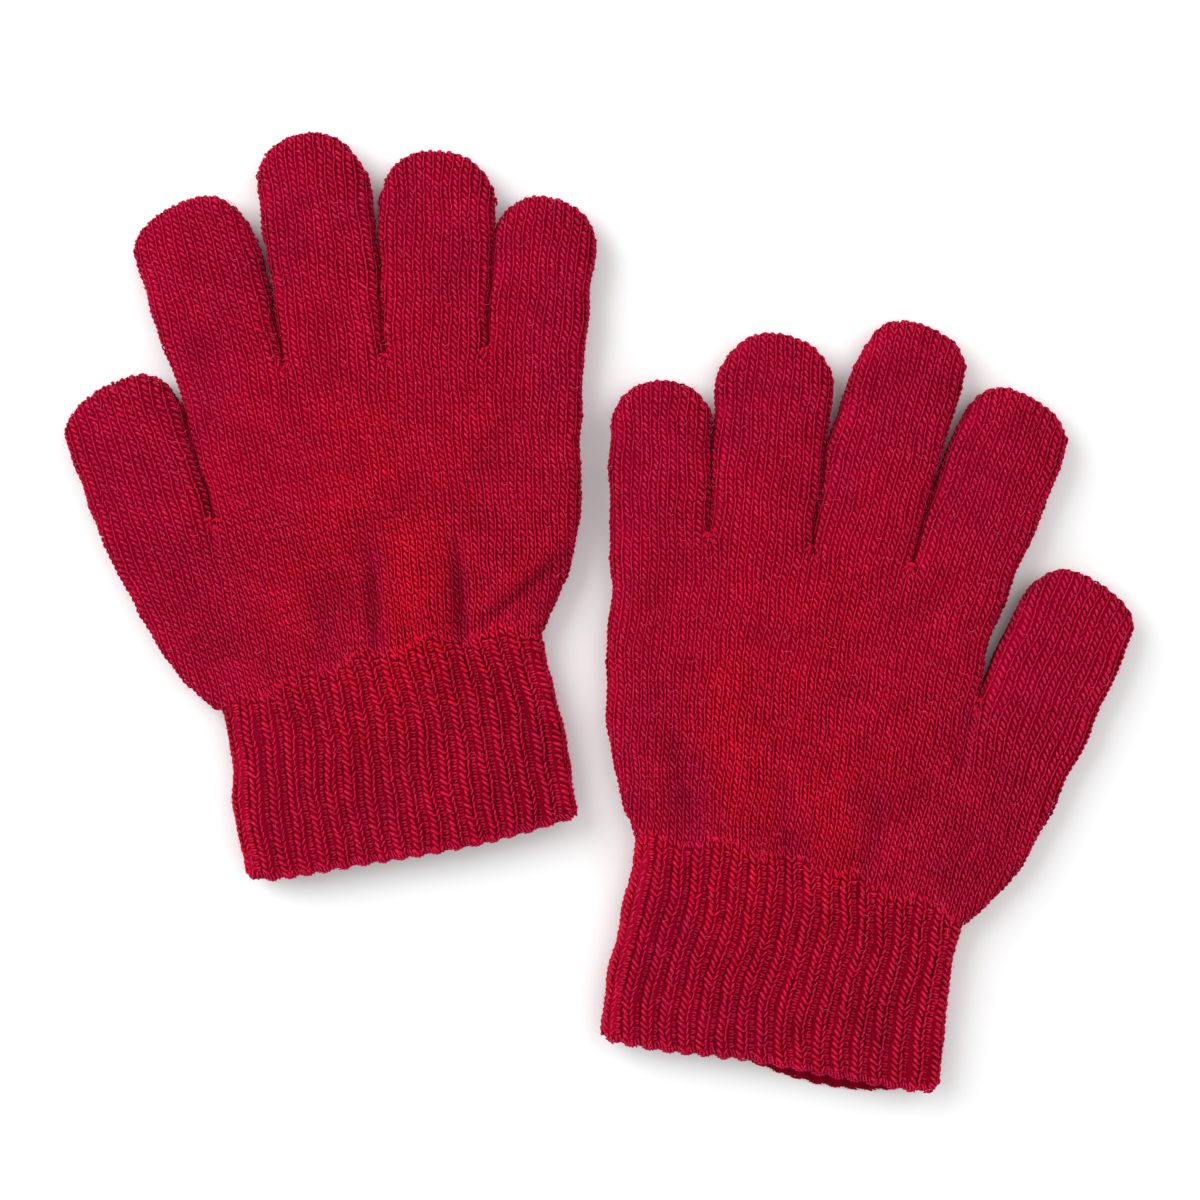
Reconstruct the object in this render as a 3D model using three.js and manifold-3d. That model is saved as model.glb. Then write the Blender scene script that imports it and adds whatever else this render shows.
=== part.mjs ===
// A pair of knitted stretch gloves lying flat side by side, palms up, thumbs outwards.
//
// Each glove is knitted in sections by one yarn: four finger tubes, a thumb tube, the part of
// the hand above the thumb, the part below it, and a ribbed cuff with elastic thread laid in
// and an overlocked edge. Every section is a hollow, flattened tube. Millimetres, +Z up,
// +Y towards the fingertips, origin on the table in the middle of the pair.

import * as THREE from "three";
import { mergeVertices } from "three/addons/utils/BufferGeometryUtils.js";
import Module from "manifold-3d";

const wasm = await Module();
wasm.setup();

// Fabric
const THICKNESS = 8.6;
const RIM_RADIUS = 4.2;
const BODY_WALL = 1.5;
const CUFF_WALL = 1.9;
const GAP = 0.4;

// Cuff trimmings
const BINDING_LENGTH = 1.8;
const ELASTIC_DIAMETER = 0.6;
const ELASTIC_TURNS = 3;
const ELASTIC_WALL = 0.7;
const ELASTIC_CLEARANCE = 0.3;
const ELASTIC_START = 0.4;
const ELASTIC_END = 0.72;
const ELASTIC_STEPS_PER_TURN = 40;
const ELASTIC_SIDES = 6;

// Faceting
const RIM_SEGMENTS = 2;
const TIP_SEGMENTS = 5;

// A section's outline runs this far past the line where it is cut off, so that only its two
// long sides keep a rounded rim and its cut ends stay open.
const SURPLUS = 12;
const TIP_FULLNESS = 0.58;
const REACH = 400;

// The glove on the left. Each finger goes up its left side, over its tip and down its right.
const LEFT = {
  side: "left",
  knuckleLeft: [-91.8, 51.9],
  knuckleRight: [-3.3, 56.5],
  forks: [-67.7, -46.3, -24.5],
  fingers: [
    {
      name: "index_finger",
      left: [[-95.4, 61.5], [-99.8, 75.5]],
      tip: [-86.4, 89.3],
      right: [[-73.1, 77.5], [-70.8, 66.0]],
    },
    {
      name: "middle_finger",
      left: [[-70.6, 70.0], [-73.6, 91.0]],
      tip: [-63.0, 103.1],
      right: [[-49.0, 88.0], [-47.6, 72.0]],
    },
    {
      name: "ring_finger",
      left: [[-47.2, 72.0], [-47.5, 86.5]],
      tip: [-35.8, 99.3],
      right: [[-22.4, 86.0], [-23.4, 72.0]],
    },
    {
      name: "little_finger",
      left: [[-23.6, 68.0], [-22.9, 78.5]],
      tip: [-12.6, 89.5],
      right: [[-0.9, 78.0], [-2.3, 67.0]],
    },
  ],
  thumb: {
    baseLeft: [-105.1, 11.7],
    baseRight: [-82.9, 19.8],
    finger: {
      name: "thumb",
      left: [[-109.6, 21.5], [-114.6, 36.5]],
      tip: [-101.0, 50.7],
      right: [[-89.4, 42.0], [-86.2, 31.0]],
    },
  },
  thumbFork: [-82.9, 19.8],
  littleSide: [[-4.2, 42.0], [-4.2, 24.0], [-4.6, 17.0], [-6.8, 9.4], [-10.0, 0.3]],
  indexSide: [[-90.3, 47.4]],
  heel: [[-98.3, -2.0], [-94.3, -8.7], [-89.5, -14.8], [-85.0, -19.0]],
  wristLeft: [-80.4, -22.0],
  wristRight: [-13.2, -5.0],
  hemLeft: [-76.6, -57.0],
  hemRight: [-5.2, -44.0],
};

// The glove on the right is laid at a slant, its thumb on the other side.
const RIGHT = {
  side: "right",
  knuckleLeft: [2.3, 19.1],
  knuckleRight: [88.9, 6.4],
  forks: [23.4, 45.5, 66.8],
  fingers: [
    {
      name: "little_finger",
      left: [[2.3, 29.0], [2.3, 38.0]],
      tip: [13.5, 49.7],
      right: [[24.1, 39.5], [23.8, 28.0]],
    },
    {
      name: "ring_finger",
      left: [[24.4, 34.0], [25.2, 48.0]],
      tip: [37.8, 59.9],
      right: [[50.3, 47.5], [48.2, 33.0]],
    },
    {
      name: "middle_finger",
      left: [[49.2, 36.5], [54.3, 50.5]],
      tip: [67.4, 62.4],
      right: [[78.7, 51.0], [72.8, 31.5]],
    },
    {
      name: "index_finger",
      left: [[72.4, 27.5], [76.4, 38.0]],
      tip: [89.0, 47.8],
      right: [[100.2, 34.5], [95.2, 21.0]],
    },
  ],
  thumb: {
    baseLeft: [81.3, -19.3],
    baseRight: [103.6, -30.0],
    finger: {
      name: "thumb",
      left: [[84.7, -10.0], [89.4, -0.8]],
      tip: [102.6, 8.6],
      right: [[114.5, -5.5], [108.6, -19.0]],
    },
  },
  thumbFork: [81.3, -19.3],
  littleSide: [[2.8, 5.0], [1.7, -8.0], [1.5, -19.0], [2.7, -31.2], [4.9, -40.3]],
  indexSide: [[85.9, -1.0], [82.7, -10.0]],
  heel: [[97.0, -43.3], [92.5, -52.4], [88.0, -58.4], [82.6, -64.0]],
  wristLeft: [8.4, -49.2],
  wristRight: [77.4, -67.6],
  hemLeft: [0.4, -92.2],
  hemRight: [72.6, -103.0],
};

// Yarn colours
const CRIMSON = { color: 0xb0082f, roughness: 0.95, metalness: 0 };
const ELASTIC = { color: 0x8c1230, roughness: 0.8, metalness: 0 };

// ---- plane geometry -----------------------------------------------------------------------

function mix(p, q, share) {
  return [p[0] + (q[0] - p[0]) * share, p[1] + (q[1] - p[1]) * share];
}

function distance(p, q) {
  return Math.hypot(q[0] - p[0], q[1] - p[1]);
}

function direction(p, q) {
  const length = distance(p, q);
  return [(q[0] - p[0]) / length, (q[1] - p[1]) / length];
}

// The point a length past q, on the line from p through q.
function past(p, q, length) {
  const along = direction(p, q);
  return [q[0] + along[0] * length, q[1] + along[1] * length];
}

// The point of the line through p and q at a given x.
function onLine(p, q, x) {
  return mix(p, q, (x - p[0]) / (q[0] - p[0]));
}

function polygon(points) {
  return new THREE.Shape(points.map(([x, y]) => new THREE.Vector2(x, y)));
}

// ---- solids -------------------------------------------------------------------------------

function toSolid(geometry) {
  geometry.deleteAttribute("normal");
  geometry.deleteAttribute("uv");
  const merged = mergeVertices(geometry, 1e-4);
  return new wasm.Manifold(new wasm.Mesh({
    numProp: 3,
    vertProperties: new Float32Array(merged.attributes.position.array),
    triVerts: new Uint32Array(merged.index.array),
  }));
}

function toMesh(name, solid, finish) {
  const { vertProperties, triVerts } = solid.getMesh();
  const geometry = new THREE.BufferGeometry();
  geometry.setAttribute("position", new THREE.BufferAttribute(new Float32Array(vertProperties), 3));
  geometry.setIndex(new THREE.BufferAttribute(new Uint32Array(triVerts), 1));
  geometry.computeVertexNormals();
  const mesh = new THREE.Mesh(geometry, new THREE.MeshStandardMaterial(finish));
  mesh.name = name;
  return mesh;
}

// A flat pillow over an outline: level top and underside, rim rounded to a half circle. A wall
// of 0 gives the outside of the fabric, and a larger one the hollow inside it.
function pillow(shape, wall) {
  const halfFlat = THICKNESS / 2 - RIM_RADIUS;
  const rim = RIM_RADIUS - wall;
  const geometry = new THREE.ExtrudeGeometry(shape, {
    depth: 2 * halfFlat,
    steps: 1,
    curveSegments: TIP_SEGMENTS,
    bevelEnabled: true,
    bevelThickness: rim,
    bevelSize: rim,
    bevelOffset: -RIM_RADIUS - GAP / 2,
    bevelSegments: RIM_SEGMENTS,
  });
  geometry.translate(0, 0, THICKNESS / 2 - halfFlat);
  return toSolid(geometry);
}

function tube(shape, wall) {
  return pillow(shape, 0).subtract(pillow(shape, wall));
}

// Everything to the left of the line from p to q, short of it by a margin.
function leftOf(p, q, margin) {
  const block = new THREE.BoxGeometry(2 * REACH, REACH, REACH);
  block.translate(0, REACH / 2 + margin, 0);
  block.rotateZ(Math.atan2(q[1] - p[1], q[0] - p[0]));
  block.translate(p[0], p[1], 0);
  return toSolid(block);
}

// ---- sections of a glove ------------------------------------------------------------------

// A finger or thumb: straight sides that open a little towards a round, slightly full tip.
function fingerOutline({ left, tip, right }, baseLeft, baseRight) {
  const [leftWaist, leftShoulder] = left;
  const [rightShoulder, rightWaist] = right;
  const up = direction(mix(baseLeft, baseRight, 0.5), mix(leftShoulder, rightShoulder, 0.5));
  const across = [up[1], -up[0]];
  const rise = (p) => (tip[0] - p[0]) * up[0] + (tip[1] - p[1]) * up[1];
  const spread = (p) => (p[0] - tip[0]) * across[0] + (p[1] - tip[1]) * across[1];
  const lift = (p) => [p[0] + up[0] * rise(p) * TIP_FULLNESS, p[1] + up[1] * rise(p) * TIP_FULLNESS];
  const widen = (p) => {
    const reach = spread(p) * TIP_FULLNESS;
    return [tip[0] + across[0] * reach, tip[1] + across[1] * reach];
  };
  const shape = new THREE.Shape();
  shape.moveTo(...past(leftWaist, baseLeft, SURPLUS));
  shape.lineTo(...past(rightWaist, baseRight, SURPLUS));
  shape.lineTo(...rightWaist);
  shape.lineTo(...rightShoulder);
  shape.bezierCurveTo(...lift(rightShoulder), ...widen(rightShoulder), ...tip);
  shape.bezierCurveTo(...widen(leftShoulder), ...lift(leftShoulder), ...leftShoulder);
  shape.lineTo(...leftWaist);
  return shape;
}

function fingerTube(finger, baseLeft, baseRight) {
  const whole = tube(fingerOutline(finger, baseLeft, baseRight), BODY_WALL);
  return whole.intersect(leftOf(baseLeft, baseRight, GAP / 2));
}

// The corners of a glove in a common order: outer means the thumb's side of the hand.
function handPoints(glove) {
  const thumbOnLeft = glove.side === "left";
  const { baseLeft, baseRight } = glove.thumb;
  return {
    outerKnuckle: thumbOnLeft ? glove.knuckleLeft : glove.knuckleRight,
    littleKnuckle: thumbOnLeft ? glove.knuckleRight : glove.knuckleLeft,
    outerWrist: thumbOnLeft ? glove.wristLeft : glove.wristRight,
    littleWrist: thumbOnLeft ? glove.wristRight : glove.wristLeft,
    outerHem: thumbOnLeft ? glove.hemLeft : glove.hemRight,
    littleHem: thumbOnLeft ? glove.hemRight : glove.hemLeft,
    thumbOuter: thumbOnLeft ? baseLeft : baseRight,
  };
}

// The line across the hand at the fork of the thumb, parallel to the knuckles.
function palmSeam({ thumbFork, knuckleLeft, knuckleRight }) {
  const along = direction(knuckleLeft, knuckleRight);
  return [thumbFork, [thumbFork[0] + along[0], thumbFork[1] + along[1]]];
}

function upperPalm(glove) {
  const hand = handPoints(glove);
  const [seamLeft, seamRight] = palmSeam(glove);
  const outerSide = [hand.outerKnuckle, ...glove.indexSide, glove.thumbFork];
  const littleSide = [hand.littleKnuckle, ...glove.littleSide.slice(0, 3)];
  const outline = polygon([
    past(outerSide[1], outerSide[0], SURPLUS),
    ...outerSide,
    past(outerSide.at(-2), glove.thumbFork, SURPLUS),
    past(littleSide.at(-2), littleSide.at(-1), SURPLUS),
    ...littleSide.toReversed(),
    past(littleSide[1], littleSide[0], SURPLUS),
  ]);
  return tube(outline, BODY_WALL)
    .intersect(leftOf(glove.knuckleRight, glove.knuckleLeft, GAP / 2))
    .intersect(leftOf(seamLeft, seamRight, GAP / 2));
}

function lowerPalm(glove) {
  const hand = handPoints(glove);
  const [seamLeft, seamRight] = palmSeam(glove);
  const { baseLeft, baseRight } = glove.thumb;
  const outerSide = [hand.thumbOuter, ...glove.heel, hand.outerWrist];
  const littleSide = [...glove.littleSide, hand.littleWrist];
  const outline = polygon([
    past(glove.indexSide.at(-1), glove.thumbFork, -SURPLUS),
    past(outerSide[1], outerSide[0], SURPLUS),
    ...outerSide,
    past(outerSide.at(-2), hand.outerWrist, SURPLUS),
    past(littleSide.at(-2), hand.littleWrist, SURPLUS),
    ...littleSide.toReversed(),
  ]);
  return tube(outline, BODY_WALL)
    .intersect(leftOf(seamRight, seamLeft, GAP / 2))
    .intersect(leftOf(baseRight, baseLeft, GAP / 2))
    .intersect(leftOf(glove.wristLeft, glove.wristRight, GAP / 2));
}

function cuffOutline({ wristLeft, wristRight, hemLeft, hemRight }) {
  return polygon([
    past(hemLeft, wristLeft, SURPLUS),
    past(wristLeft, hemLeft, SURPLUS),
    past(wristRight, hemRight, SURPLUS),
    past(hemRight, wristRight, SURPLUS),
  ]);
}

// The line across the cuff at a share of the way from the wrist to the edge.
function cuffLine({ wristLeft, wristRight, hemLeft, hemRight }, share) {
  return [mix(wristLeft, hemLeft, share), mix(wristRight, hemRight, share)];
}

// The rib tube, with a thinner band inside where the elastic thread is laid in.
function ribCuff(glove) {
  const outline = cuffOutline(glove);
  const [wristLeft, wristRight] = cuffLine(glove, 0);
  const [hemLeft, hemRight] = cuffLine(glove, 1);
  const pitch = (ELASTIC_END - ELASTIC_START) / ELASTIC_TURNS;
  const [bandTopLeft, bandTopRight] = cuffLine(glove, ELASTIC_START - pitch / 2);
  const [bandEndLeft, bandEndRight] = cuffLine(glove, ELASTIC_END + pitch / 2);
  const band = pillow(outline, ELASTIC_WALL)
    .intersect(leftOf(bandTopRight, bandTopLeft, 0))
    .intersect(leftOf(bandEndLeft, bandEndRight, 0));
  return tube(outline, CUFF_WALL)
    .subtract(band)
    .intersect(leftOf(wristRight, wristLeft, GAP / 2))
    .intersect(leftOf(hemLeft, hemRight, BINDING_LENGTH + GAP / 2));
}

function edgeBinding(glove) {
  const [hemLeft, hemRight] = cuffLine(glove, 1);
  return tube(cuffOutline(glove), CUFF_WALL)
    .intersect(leftOf(hemRight, hemLeft, -BINDING_LENGTH + GAP / 2))
    .intersect(leftOf(hemLeft, hemRight, 0));
}

// A thread wound round the inside of the cuff: level over and under, half circles at the sides.
class FlattenedHelix extends THREE.Curve {
  constructor(glove, inset) {
    super();
    this.glove = glove;
    this.inset = inset;
  }

  getPoint(t, target = new THREE.Vector3()) {
    const share = ELASTIC_START + (ELASTIC_END - ELASTIC_START) * t;
    const [lineLeft, lineRight] = cuffLine(this.glove, share);
    const radius = THICKNESS / 2 - this.inset;
    const straight = distance(lineLeft, lineRight) - 2 * (this.inset + radius);
    const halfTurn = straight + Math.PI * radius;
    const travelled = ((t * ELASTIC_TURNS) % 1) * 2 * halfTurn;
    const below = travelled >= halfTurn;
    const run = below ? travelled - halfTurn : travelled;
    const angle = Math.max(0, run - straight) / radius;
    const across = Math.min(run, straight) + radius * Math.sin(angle);
    const height = radius * Math.cos(angle);
    const place = below ? straight - across : across;
    const start = this.inset + radius;
    const along = direction(lineLeft, lineRight);
    const x = lineLeft[0] + along[0] * (start + place);
    const y = lineLeft[1] + along[1] * (start + place);
    return target.set(x, y, THICKNESS / 2 + (below ? -height : height));
  }
}

function elasticThread(glove) {
  const radius = ELASTIC_DIAMETER / 2;
  const inset = GAP / 2 + ELASTIC_WALL + ELASTIC_CLEARANCE + radius;
  const section = new THREE.Shape();
  section.absarc(0, 0, radius, 0, 2 * Math.PI);
  const geometry = new THREE.ExtrudeGeometry(section, {
    steps: ELASTIC_STEPS_PER_TURN * ELASTIC_TURNS,
    curveSegments: ELASTIC_SIDES / 2,
    extrudePath: new FlattenedHelix(glove, inset),
  });
  return toSolid(geometry);
}

// ---- the pair -----------------------------------------------------------------------------

function makeGlove(glove) {
  const group = new THREE.Group();
  const add = (name, solid, finish) => group.add(toMesh(`${glove.side}_${name}`, solid, finish));
  const { knuckleLeft, knuckleRight, forks, fingers, thumb } = glove;
  const forkPoints = forks.map((x) => onLine(knuckleLeft, knuckleRight, x));
  const bases = [knuckleLeft, ...forkPoints, knuckleRight];
  fingers.forEach((finger, i) => add(finger.name, fingerTube(finger, bases[i], bases[i + 1]), CRIMSON));
  add("thumb", fingerTube(thumb.finger, thumb.baseLeft, thumb.baseRight), CRIMSON);
  add("upper_palm", upperPalm(glove), CRIMSON);
  add("lower_palm", lowerPalm(glove), CRIMSON);
  add("rib_cuff", ribCuff(glove), CRIMSON);
  add("cuff_edge_binding", edgeBinding(glove), CRIMSON);
  add("cuff_elastic_thread", elasticThread(glove), ELASTIC);
  return group;
}

const pair = new THREE.Group();
pair.add(makeGlove(LEFT), makeGlove(RIGHT));

export default pair;
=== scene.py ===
import collections
import math

import bpy
import numpy as np
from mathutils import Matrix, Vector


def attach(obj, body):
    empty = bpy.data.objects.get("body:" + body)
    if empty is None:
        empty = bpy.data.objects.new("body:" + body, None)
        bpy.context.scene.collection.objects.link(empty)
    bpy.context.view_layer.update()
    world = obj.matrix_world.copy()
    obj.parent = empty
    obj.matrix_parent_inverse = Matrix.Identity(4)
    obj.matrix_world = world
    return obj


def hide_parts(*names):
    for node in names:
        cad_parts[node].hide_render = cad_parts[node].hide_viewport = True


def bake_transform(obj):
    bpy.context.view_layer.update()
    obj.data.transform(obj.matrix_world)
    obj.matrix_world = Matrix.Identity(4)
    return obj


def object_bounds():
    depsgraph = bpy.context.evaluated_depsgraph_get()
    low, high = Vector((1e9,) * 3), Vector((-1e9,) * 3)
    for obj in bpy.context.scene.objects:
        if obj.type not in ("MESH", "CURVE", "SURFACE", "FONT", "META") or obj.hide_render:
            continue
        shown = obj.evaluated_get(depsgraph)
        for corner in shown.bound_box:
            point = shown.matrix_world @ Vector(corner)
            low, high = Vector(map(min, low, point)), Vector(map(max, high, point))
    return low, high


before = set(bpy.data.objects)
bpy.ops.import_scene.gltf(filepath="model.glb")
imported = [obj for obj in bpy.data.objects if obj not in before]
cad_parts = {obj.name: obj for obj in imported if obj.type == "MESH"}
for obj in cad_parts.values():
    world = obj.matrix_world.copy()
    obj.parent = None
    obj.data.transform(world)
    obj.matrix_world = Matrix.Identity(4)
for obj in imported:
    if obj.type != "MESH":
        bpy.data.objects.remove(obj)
cad_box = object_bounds()

MM = 0.001
THICKNESS = cad_box[1].z / MM
rng = np.random.default_rng(11)

# ---- how the fabric lies ------------------------------------------------------------------

MID_HEIGHT = THICKNESS / 2
YARN_DEPTH = 0.42          # the yarn's middle under the outside of the fabric
RIM_REACH = 3.0            # how far in from its edge a flat glove starts to fall away
RIM_TAKE = 1.0             # fabric that the rounded edge takes up beyond its reach
RIM_FABRIC = RIM_REACH + RIM_TAKE
UNDER_SQUEEZE = 0.86       # the under layer is pressed flatter, by the table
TOP = MID_HEIGHT - YARN_DEPTH
LINING_INSET = 0.13
LINING_WALL = 0.9

# ---- gauge --------------------------------------------------------------------------------

COURSE = 1.30              # from one row of loops to the next
HAND_WALES = 46            # columns of loops across the four fingers
THUMB_WALES = 12
RIBS = 18                  # ribs across the face of a cuff
YARN_RADIUS = 0.375
RIB_WIDTH = 3.15
RIB_HEIGHT = 0.50
TROUGH_DEPTH = 0.55
TROUGH_WIDTH = 2.0

# ---- the two gloves, as the CAD model has them --------------------------------------------

LEFT = {
    "side": "left",
    "knuckles": [(-91.8, 51.9), (-3.3, 56.5)],
    "forks": [-67.7, -46.3, -24.5],
    "fingers": [
        ("index_finger", [(-95.4, 61.5), (-99.8, 75.5)], (-86.4, 89.3), [(-73.1, 77.5), (-70.8, 66.0)]),
        ("middle_finger", [(-70.6, 70.0), (-73.6, 91.0)], (-63.0, 103.1), [(-49.0, 88.0), (-47.6, 72.0)]),
        ("ring_finger", [(-47.2, 72.0), (-47.5, 86.5)], (-35.8, 99.3), [(-22.4, 86.0), (-23.4, 72.0)]),
        ("little_finger", [(-23.6, 68.0), (-22.9, 78.5)], (-12.6, 89.5), [(-0.9, 78.0), (-2.3, 67.0)]),
    ],
    "thumb_base": [(-105.1, 11.7), (-82.9, 19.8)],
    "thumb": ("thumb", [(-109.6, 21.5), (-114.6, 36.5)], (-101.0, 50.7), [(-89.4, 42.0), (-86.2, 31.0)]),
    "thumb_fork": (-82.9, 19.8),
    "little_side": [(-4.2, 42.0), (-4.2, 24.0), (-4.6, 17.0), (-6.8, 9.4), (-10.0, 0.3)],
    "index_side": [(-90.3, 47.4)],
    "heel": [(-98.3, -2.0), (-94.3, -8.7), (-89.5, -14.8), (-85.0, -19.0)],
    "wrist": [(-80.4, -22.0), (-13.2, -5.0)],
    "cuff_left": [(-79.0, -31.0), (-78.6, -42.0), (-76.8, -52.0), (-76.0, -56.5)],
    "cuff_right": [(-9.6, -18.0), (-7.0, -31.0), (-5.3, -41.0), (-5.2, -44.0)],
    "hem": [(-76.0, -56.6), (-69.7, -57.4), (-54.5, -54.9), (-32.9, -51.3), (-19.0, -48.2), (-5.2, -44.0)],
    "wale_left": [(-91.8, 51.9), (-88.0, 37.5), (-82.9, 19.8), (-78.0, 1.0), (-72.5, -19.5)],
    "wale_right": [(-3.3, 56.5), (-4.2, 40.2), (-4.2, 23.9), (-5.0, 8.6), (-7.5, -6.0)],
    "mouth_gape": 0.3,
    "rib_sway": 0.3,
    # soft folds of the palm: from, to, height, width; they shape the fabric and also paint shade into its
    # colour in their hollows and highlight on their swells
    "folds": [
        ((-40.0, 14.0), (-38.0, -9.0), 1.1, 5.0), ((-48.8, 12.0), (-47.6, -9.0), -1.3, 1.8),
        ((-30.6, 12.0), (-29.5, -6.0), -1.5, 1.6), ((-24.0, -2.0), (-8.0, 11.5), -1.1, 1.8),
        ((-60.0, 6.0), (-57.0, -11.0), -0.7, 3.2), ((-20.0, 2.0), (-9.0, 17.0), 0.7, 3.5),
        ((-93.0, 6.0), (-80.0, -14.0), -0.45, 6.0), ((-83.5, 18.0), (-79.0, 4.0), -0.5, 2.2),
    ],
}
RIGHT = {
    "side": "right",
    "knuckles": [(2.3, 19.1), (88.9, 6.4)],
    "forks": [23.4, 45.5, 66.8],
    "fingers": [
        ("little_finger", [(2.3, 29.0), (2.3, 38.0)], (13.5, 49.7), [(24.1, 39.5), (23.8, 28.0)]),
        ("ring_finger", [(24.4, 34.0), (25.2, 48.0)], (37.8, 59.9), [(50.3, 47.5), (48.2, 33.0)]),
        ("middle_finger", [(49.2, 36.5), (54.3, 50.5)], (67.4, 62.4), [(78.7, 51.0), (72.8, 31.5)]),
        ("index_finger", [(72.4, 27.5), (76.4, 38.0)], (89.0, 47.8), [(100.2, 34.5), (95.2, 21.0)]),
    ],
    "thumb_base": [(81.3, -19.3), (103.6, -30.0)],
    "thumb": ("thumb", [(84.7, -10.0), (89.4, -0.8)], (102.6, 8.6), [(114.5, -5.5), (108.6, -19.0)]),
    "thumb_fork": (81.3, -19.3),
    "little_side": [(2.8, 5.0), (1.7, -8.0), (1.5, -19.0), (2.7, -31.2), (4.9, -40.3)],
    "index_side": [(85.9, -1.0), (82.7, -10.0)],
    "heel": [(97.0, -43.3), (92.5, -52.4), (88.0, -58.4), (82.6, -64.0)],
    "wrist": [(8.4, -49.2), (77.4, -67.6)],
    "cuff_left": [(5.3, -64.5), (3.1, -73.5), (1.0, -85.6), (0.5, -91.0)],
    "cuff_right": [(76.5, -73.0), (74.6, -81.0), (74.2, -90.0), (72.6, -102.0)],
    "hem": [(0.5, -91.4), (11.8, -93.8), (32.5, -96.2), (51.7, -99.9), (67.7, -102.6), (72.6, -102.4)],
    "wale_left": [(2.3, 19.1), (2.8, 5.5), (1.6, -7.6), (1.4, -29.3), (2.5, -48.5)],
    "wale_right": [(88.9, 6.4), (84.4, -6.0), (81.3, -19.3), (77.0, -41.0), (69.5, -66.0)],
    "mouth_gape": 3.5,
    "rib_sway": 1.0,
    # soft folds of the palm, as for the left glove; they also paint shade and highlight into the colour
    "folds": [
        ((29.0, -16.0), (30.5, -46.0), 1.0, 5.0), ((17.0, -30.0), (20.0, -49.0), -1.2, 3.4),
        ((40.0, -36.0), (41.0, -56.0), -0.9, 2.4), ((52.0, -30.0), (50.0, -58.0), 0.7, 4.0),
        ((61.0, -40.0), (57.0, -60.0), -0.8, 2.6), ((92.0, -34.0), (76.0, -58.0), -0.4, 7.0),
        ((9.0, -44.0), (4.5, -30.0), -0.6, 2.4), ((81.5, -21.0), (77.0, -34.0), -0.5, 2.2),
    ],
}

# ---- plane curves -------------------------------------------------------------------------


def unit(v):
    return v / np.maximum(np.linalg.norm(v, axis=-1, keepdims=True), 1e-9)


def eased(t):
    """A smooth rise from 0, where t is 0 or less, to 1, where t is 1 or more."""
    t = np.clip(t, 0, 1)
    return t * t * (3 - 2 * t)


def crowded(count):
    """Shares from 0 to 1 that come closer together towards both ends."""
    return 0.5 - 0.5 * np.cos(math.pi * np.linspace(0, 1, count))


def turned(v):
    """v turned a quarter clockwise, so that a direction up the glove gives the one to its right."""
    return np.stack([v[..., 1], -v[..., 0]], -1)


def length_along(points):
    return np.concatenate([[0.0], np.cumsum(np.linalg.norm(np.diff(points, axis=0), axis=1))])


def at_lengths(points, lengths):
    run = length_along(points)
    return np.stack([np.interp(lengths, run, points[:, i]) for i in range(points.shape[1])], -1)


def resampled(points, count):
    return at_lengths(points, np.linspace(0, length_along(points)[-1], count))


def softened(points, step=0.6, reach=2.2):
    """A polyline with its corners rounded off over about reach; its ends stay."""
    points = np.asarray(points, float)
    line = resampled(points, max(8, int(length_along(points)[-1] / step)))
    half = int(3 * reach / step)
    kernel = np.exp(-0.5 * (np.arange(-half, half + 1) * step / reach) ** 2)
    kernel /= kernel.sum()
    before, after = np.repeat(line[:1], half, 0), np.repeat(line[-1:], half, 0)
    if len(line) > half:
        before, after = 2 * line[0] - line[half:0:-1], 2 * line[-1] - line[-2:-half - 2:-1]
    padded = np.concatenate([before, line, after])
    smooth = [np.convolve(padded[:, i], kernel, "valid") for i in range(2)]
    return np.stack(smooth, -1)


def through(points, t):
    """A smooth curve through points, at parameters t from 0 to 1."""
    p = np.asarray(points, float)
    p = np.concatenate([[2 * p[0] - p[1]], p, [2 * p[-1] - p[-2]]])
    x = np.clip(np.asarray(t, float), 0, 1) * (len(p) - 3)
    i = np.minimum(x.astype(int), len(p) - 4)
    f = (x - i)[..., None]
    a, b, c, d = p[i], p[i + 1], p[i + 2], p[i + 3]
    square, cube = 2 * a - 5 * b + 4 * c - d, 3 * b - a - 3 * c + d
    return 0.5 * (2 * b + (c - a) * f + square * f ** 2 + cube * f ** 3)


TIP_FULLNESS = 0.60
TIP_STEPS = 24             # points on each half of a fingertip
STEPS = 90                 # points along a wale or a side of the cuff
SIDE_SURPLUS = 14.0        # how far a finger's edge goes on below its base
CHUNK = 4000               # points compared with an edge at one time


def finger_edge(finger, base):
    """The edge of a finger: up its left side, over its tip and down its right side."""
    _, left, tip, right = finger
    base = np.array(base, float)
    left, right, tip = np.array(left), np.array(right), np.array(tip)
    up = unit((left[1] + right[0]) / 2 - base.mean(0))
    across = turned(up)
    t = np.linspace(0, 1, TIP_STEPS)[:, None]

    def quarter(shoulder):
        lift = shoulder + up * np.dot(tip - shoulder, up) * TIP_FULLNESS
        widen = tip + across * np.dot(shoulder - tip, across) * TIP_FULLNESS
        start = (1 - t) ** 3 * shoulder + 3 * (1 - t) ** 2 * t * lift
        return start + 3 * (1 - t) * t ** 2 * widen + t ** 3 * tip

    over = np.concatenate([quarter(left[1]), quarter(right[0])[::-1][1:]])
    low_left = base[0] - unit(left[0] - base[0]) * SIDE_SURPLUS
    low_right = base[1] - unit(right[1] - base[1]) * SIDE_SURPLUS
    whole = np.concatenate([[low_left, base[0], left[0]], over, [right[1], base[1], low_right]])
    return softened(whole, reach=1.6)


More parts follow.
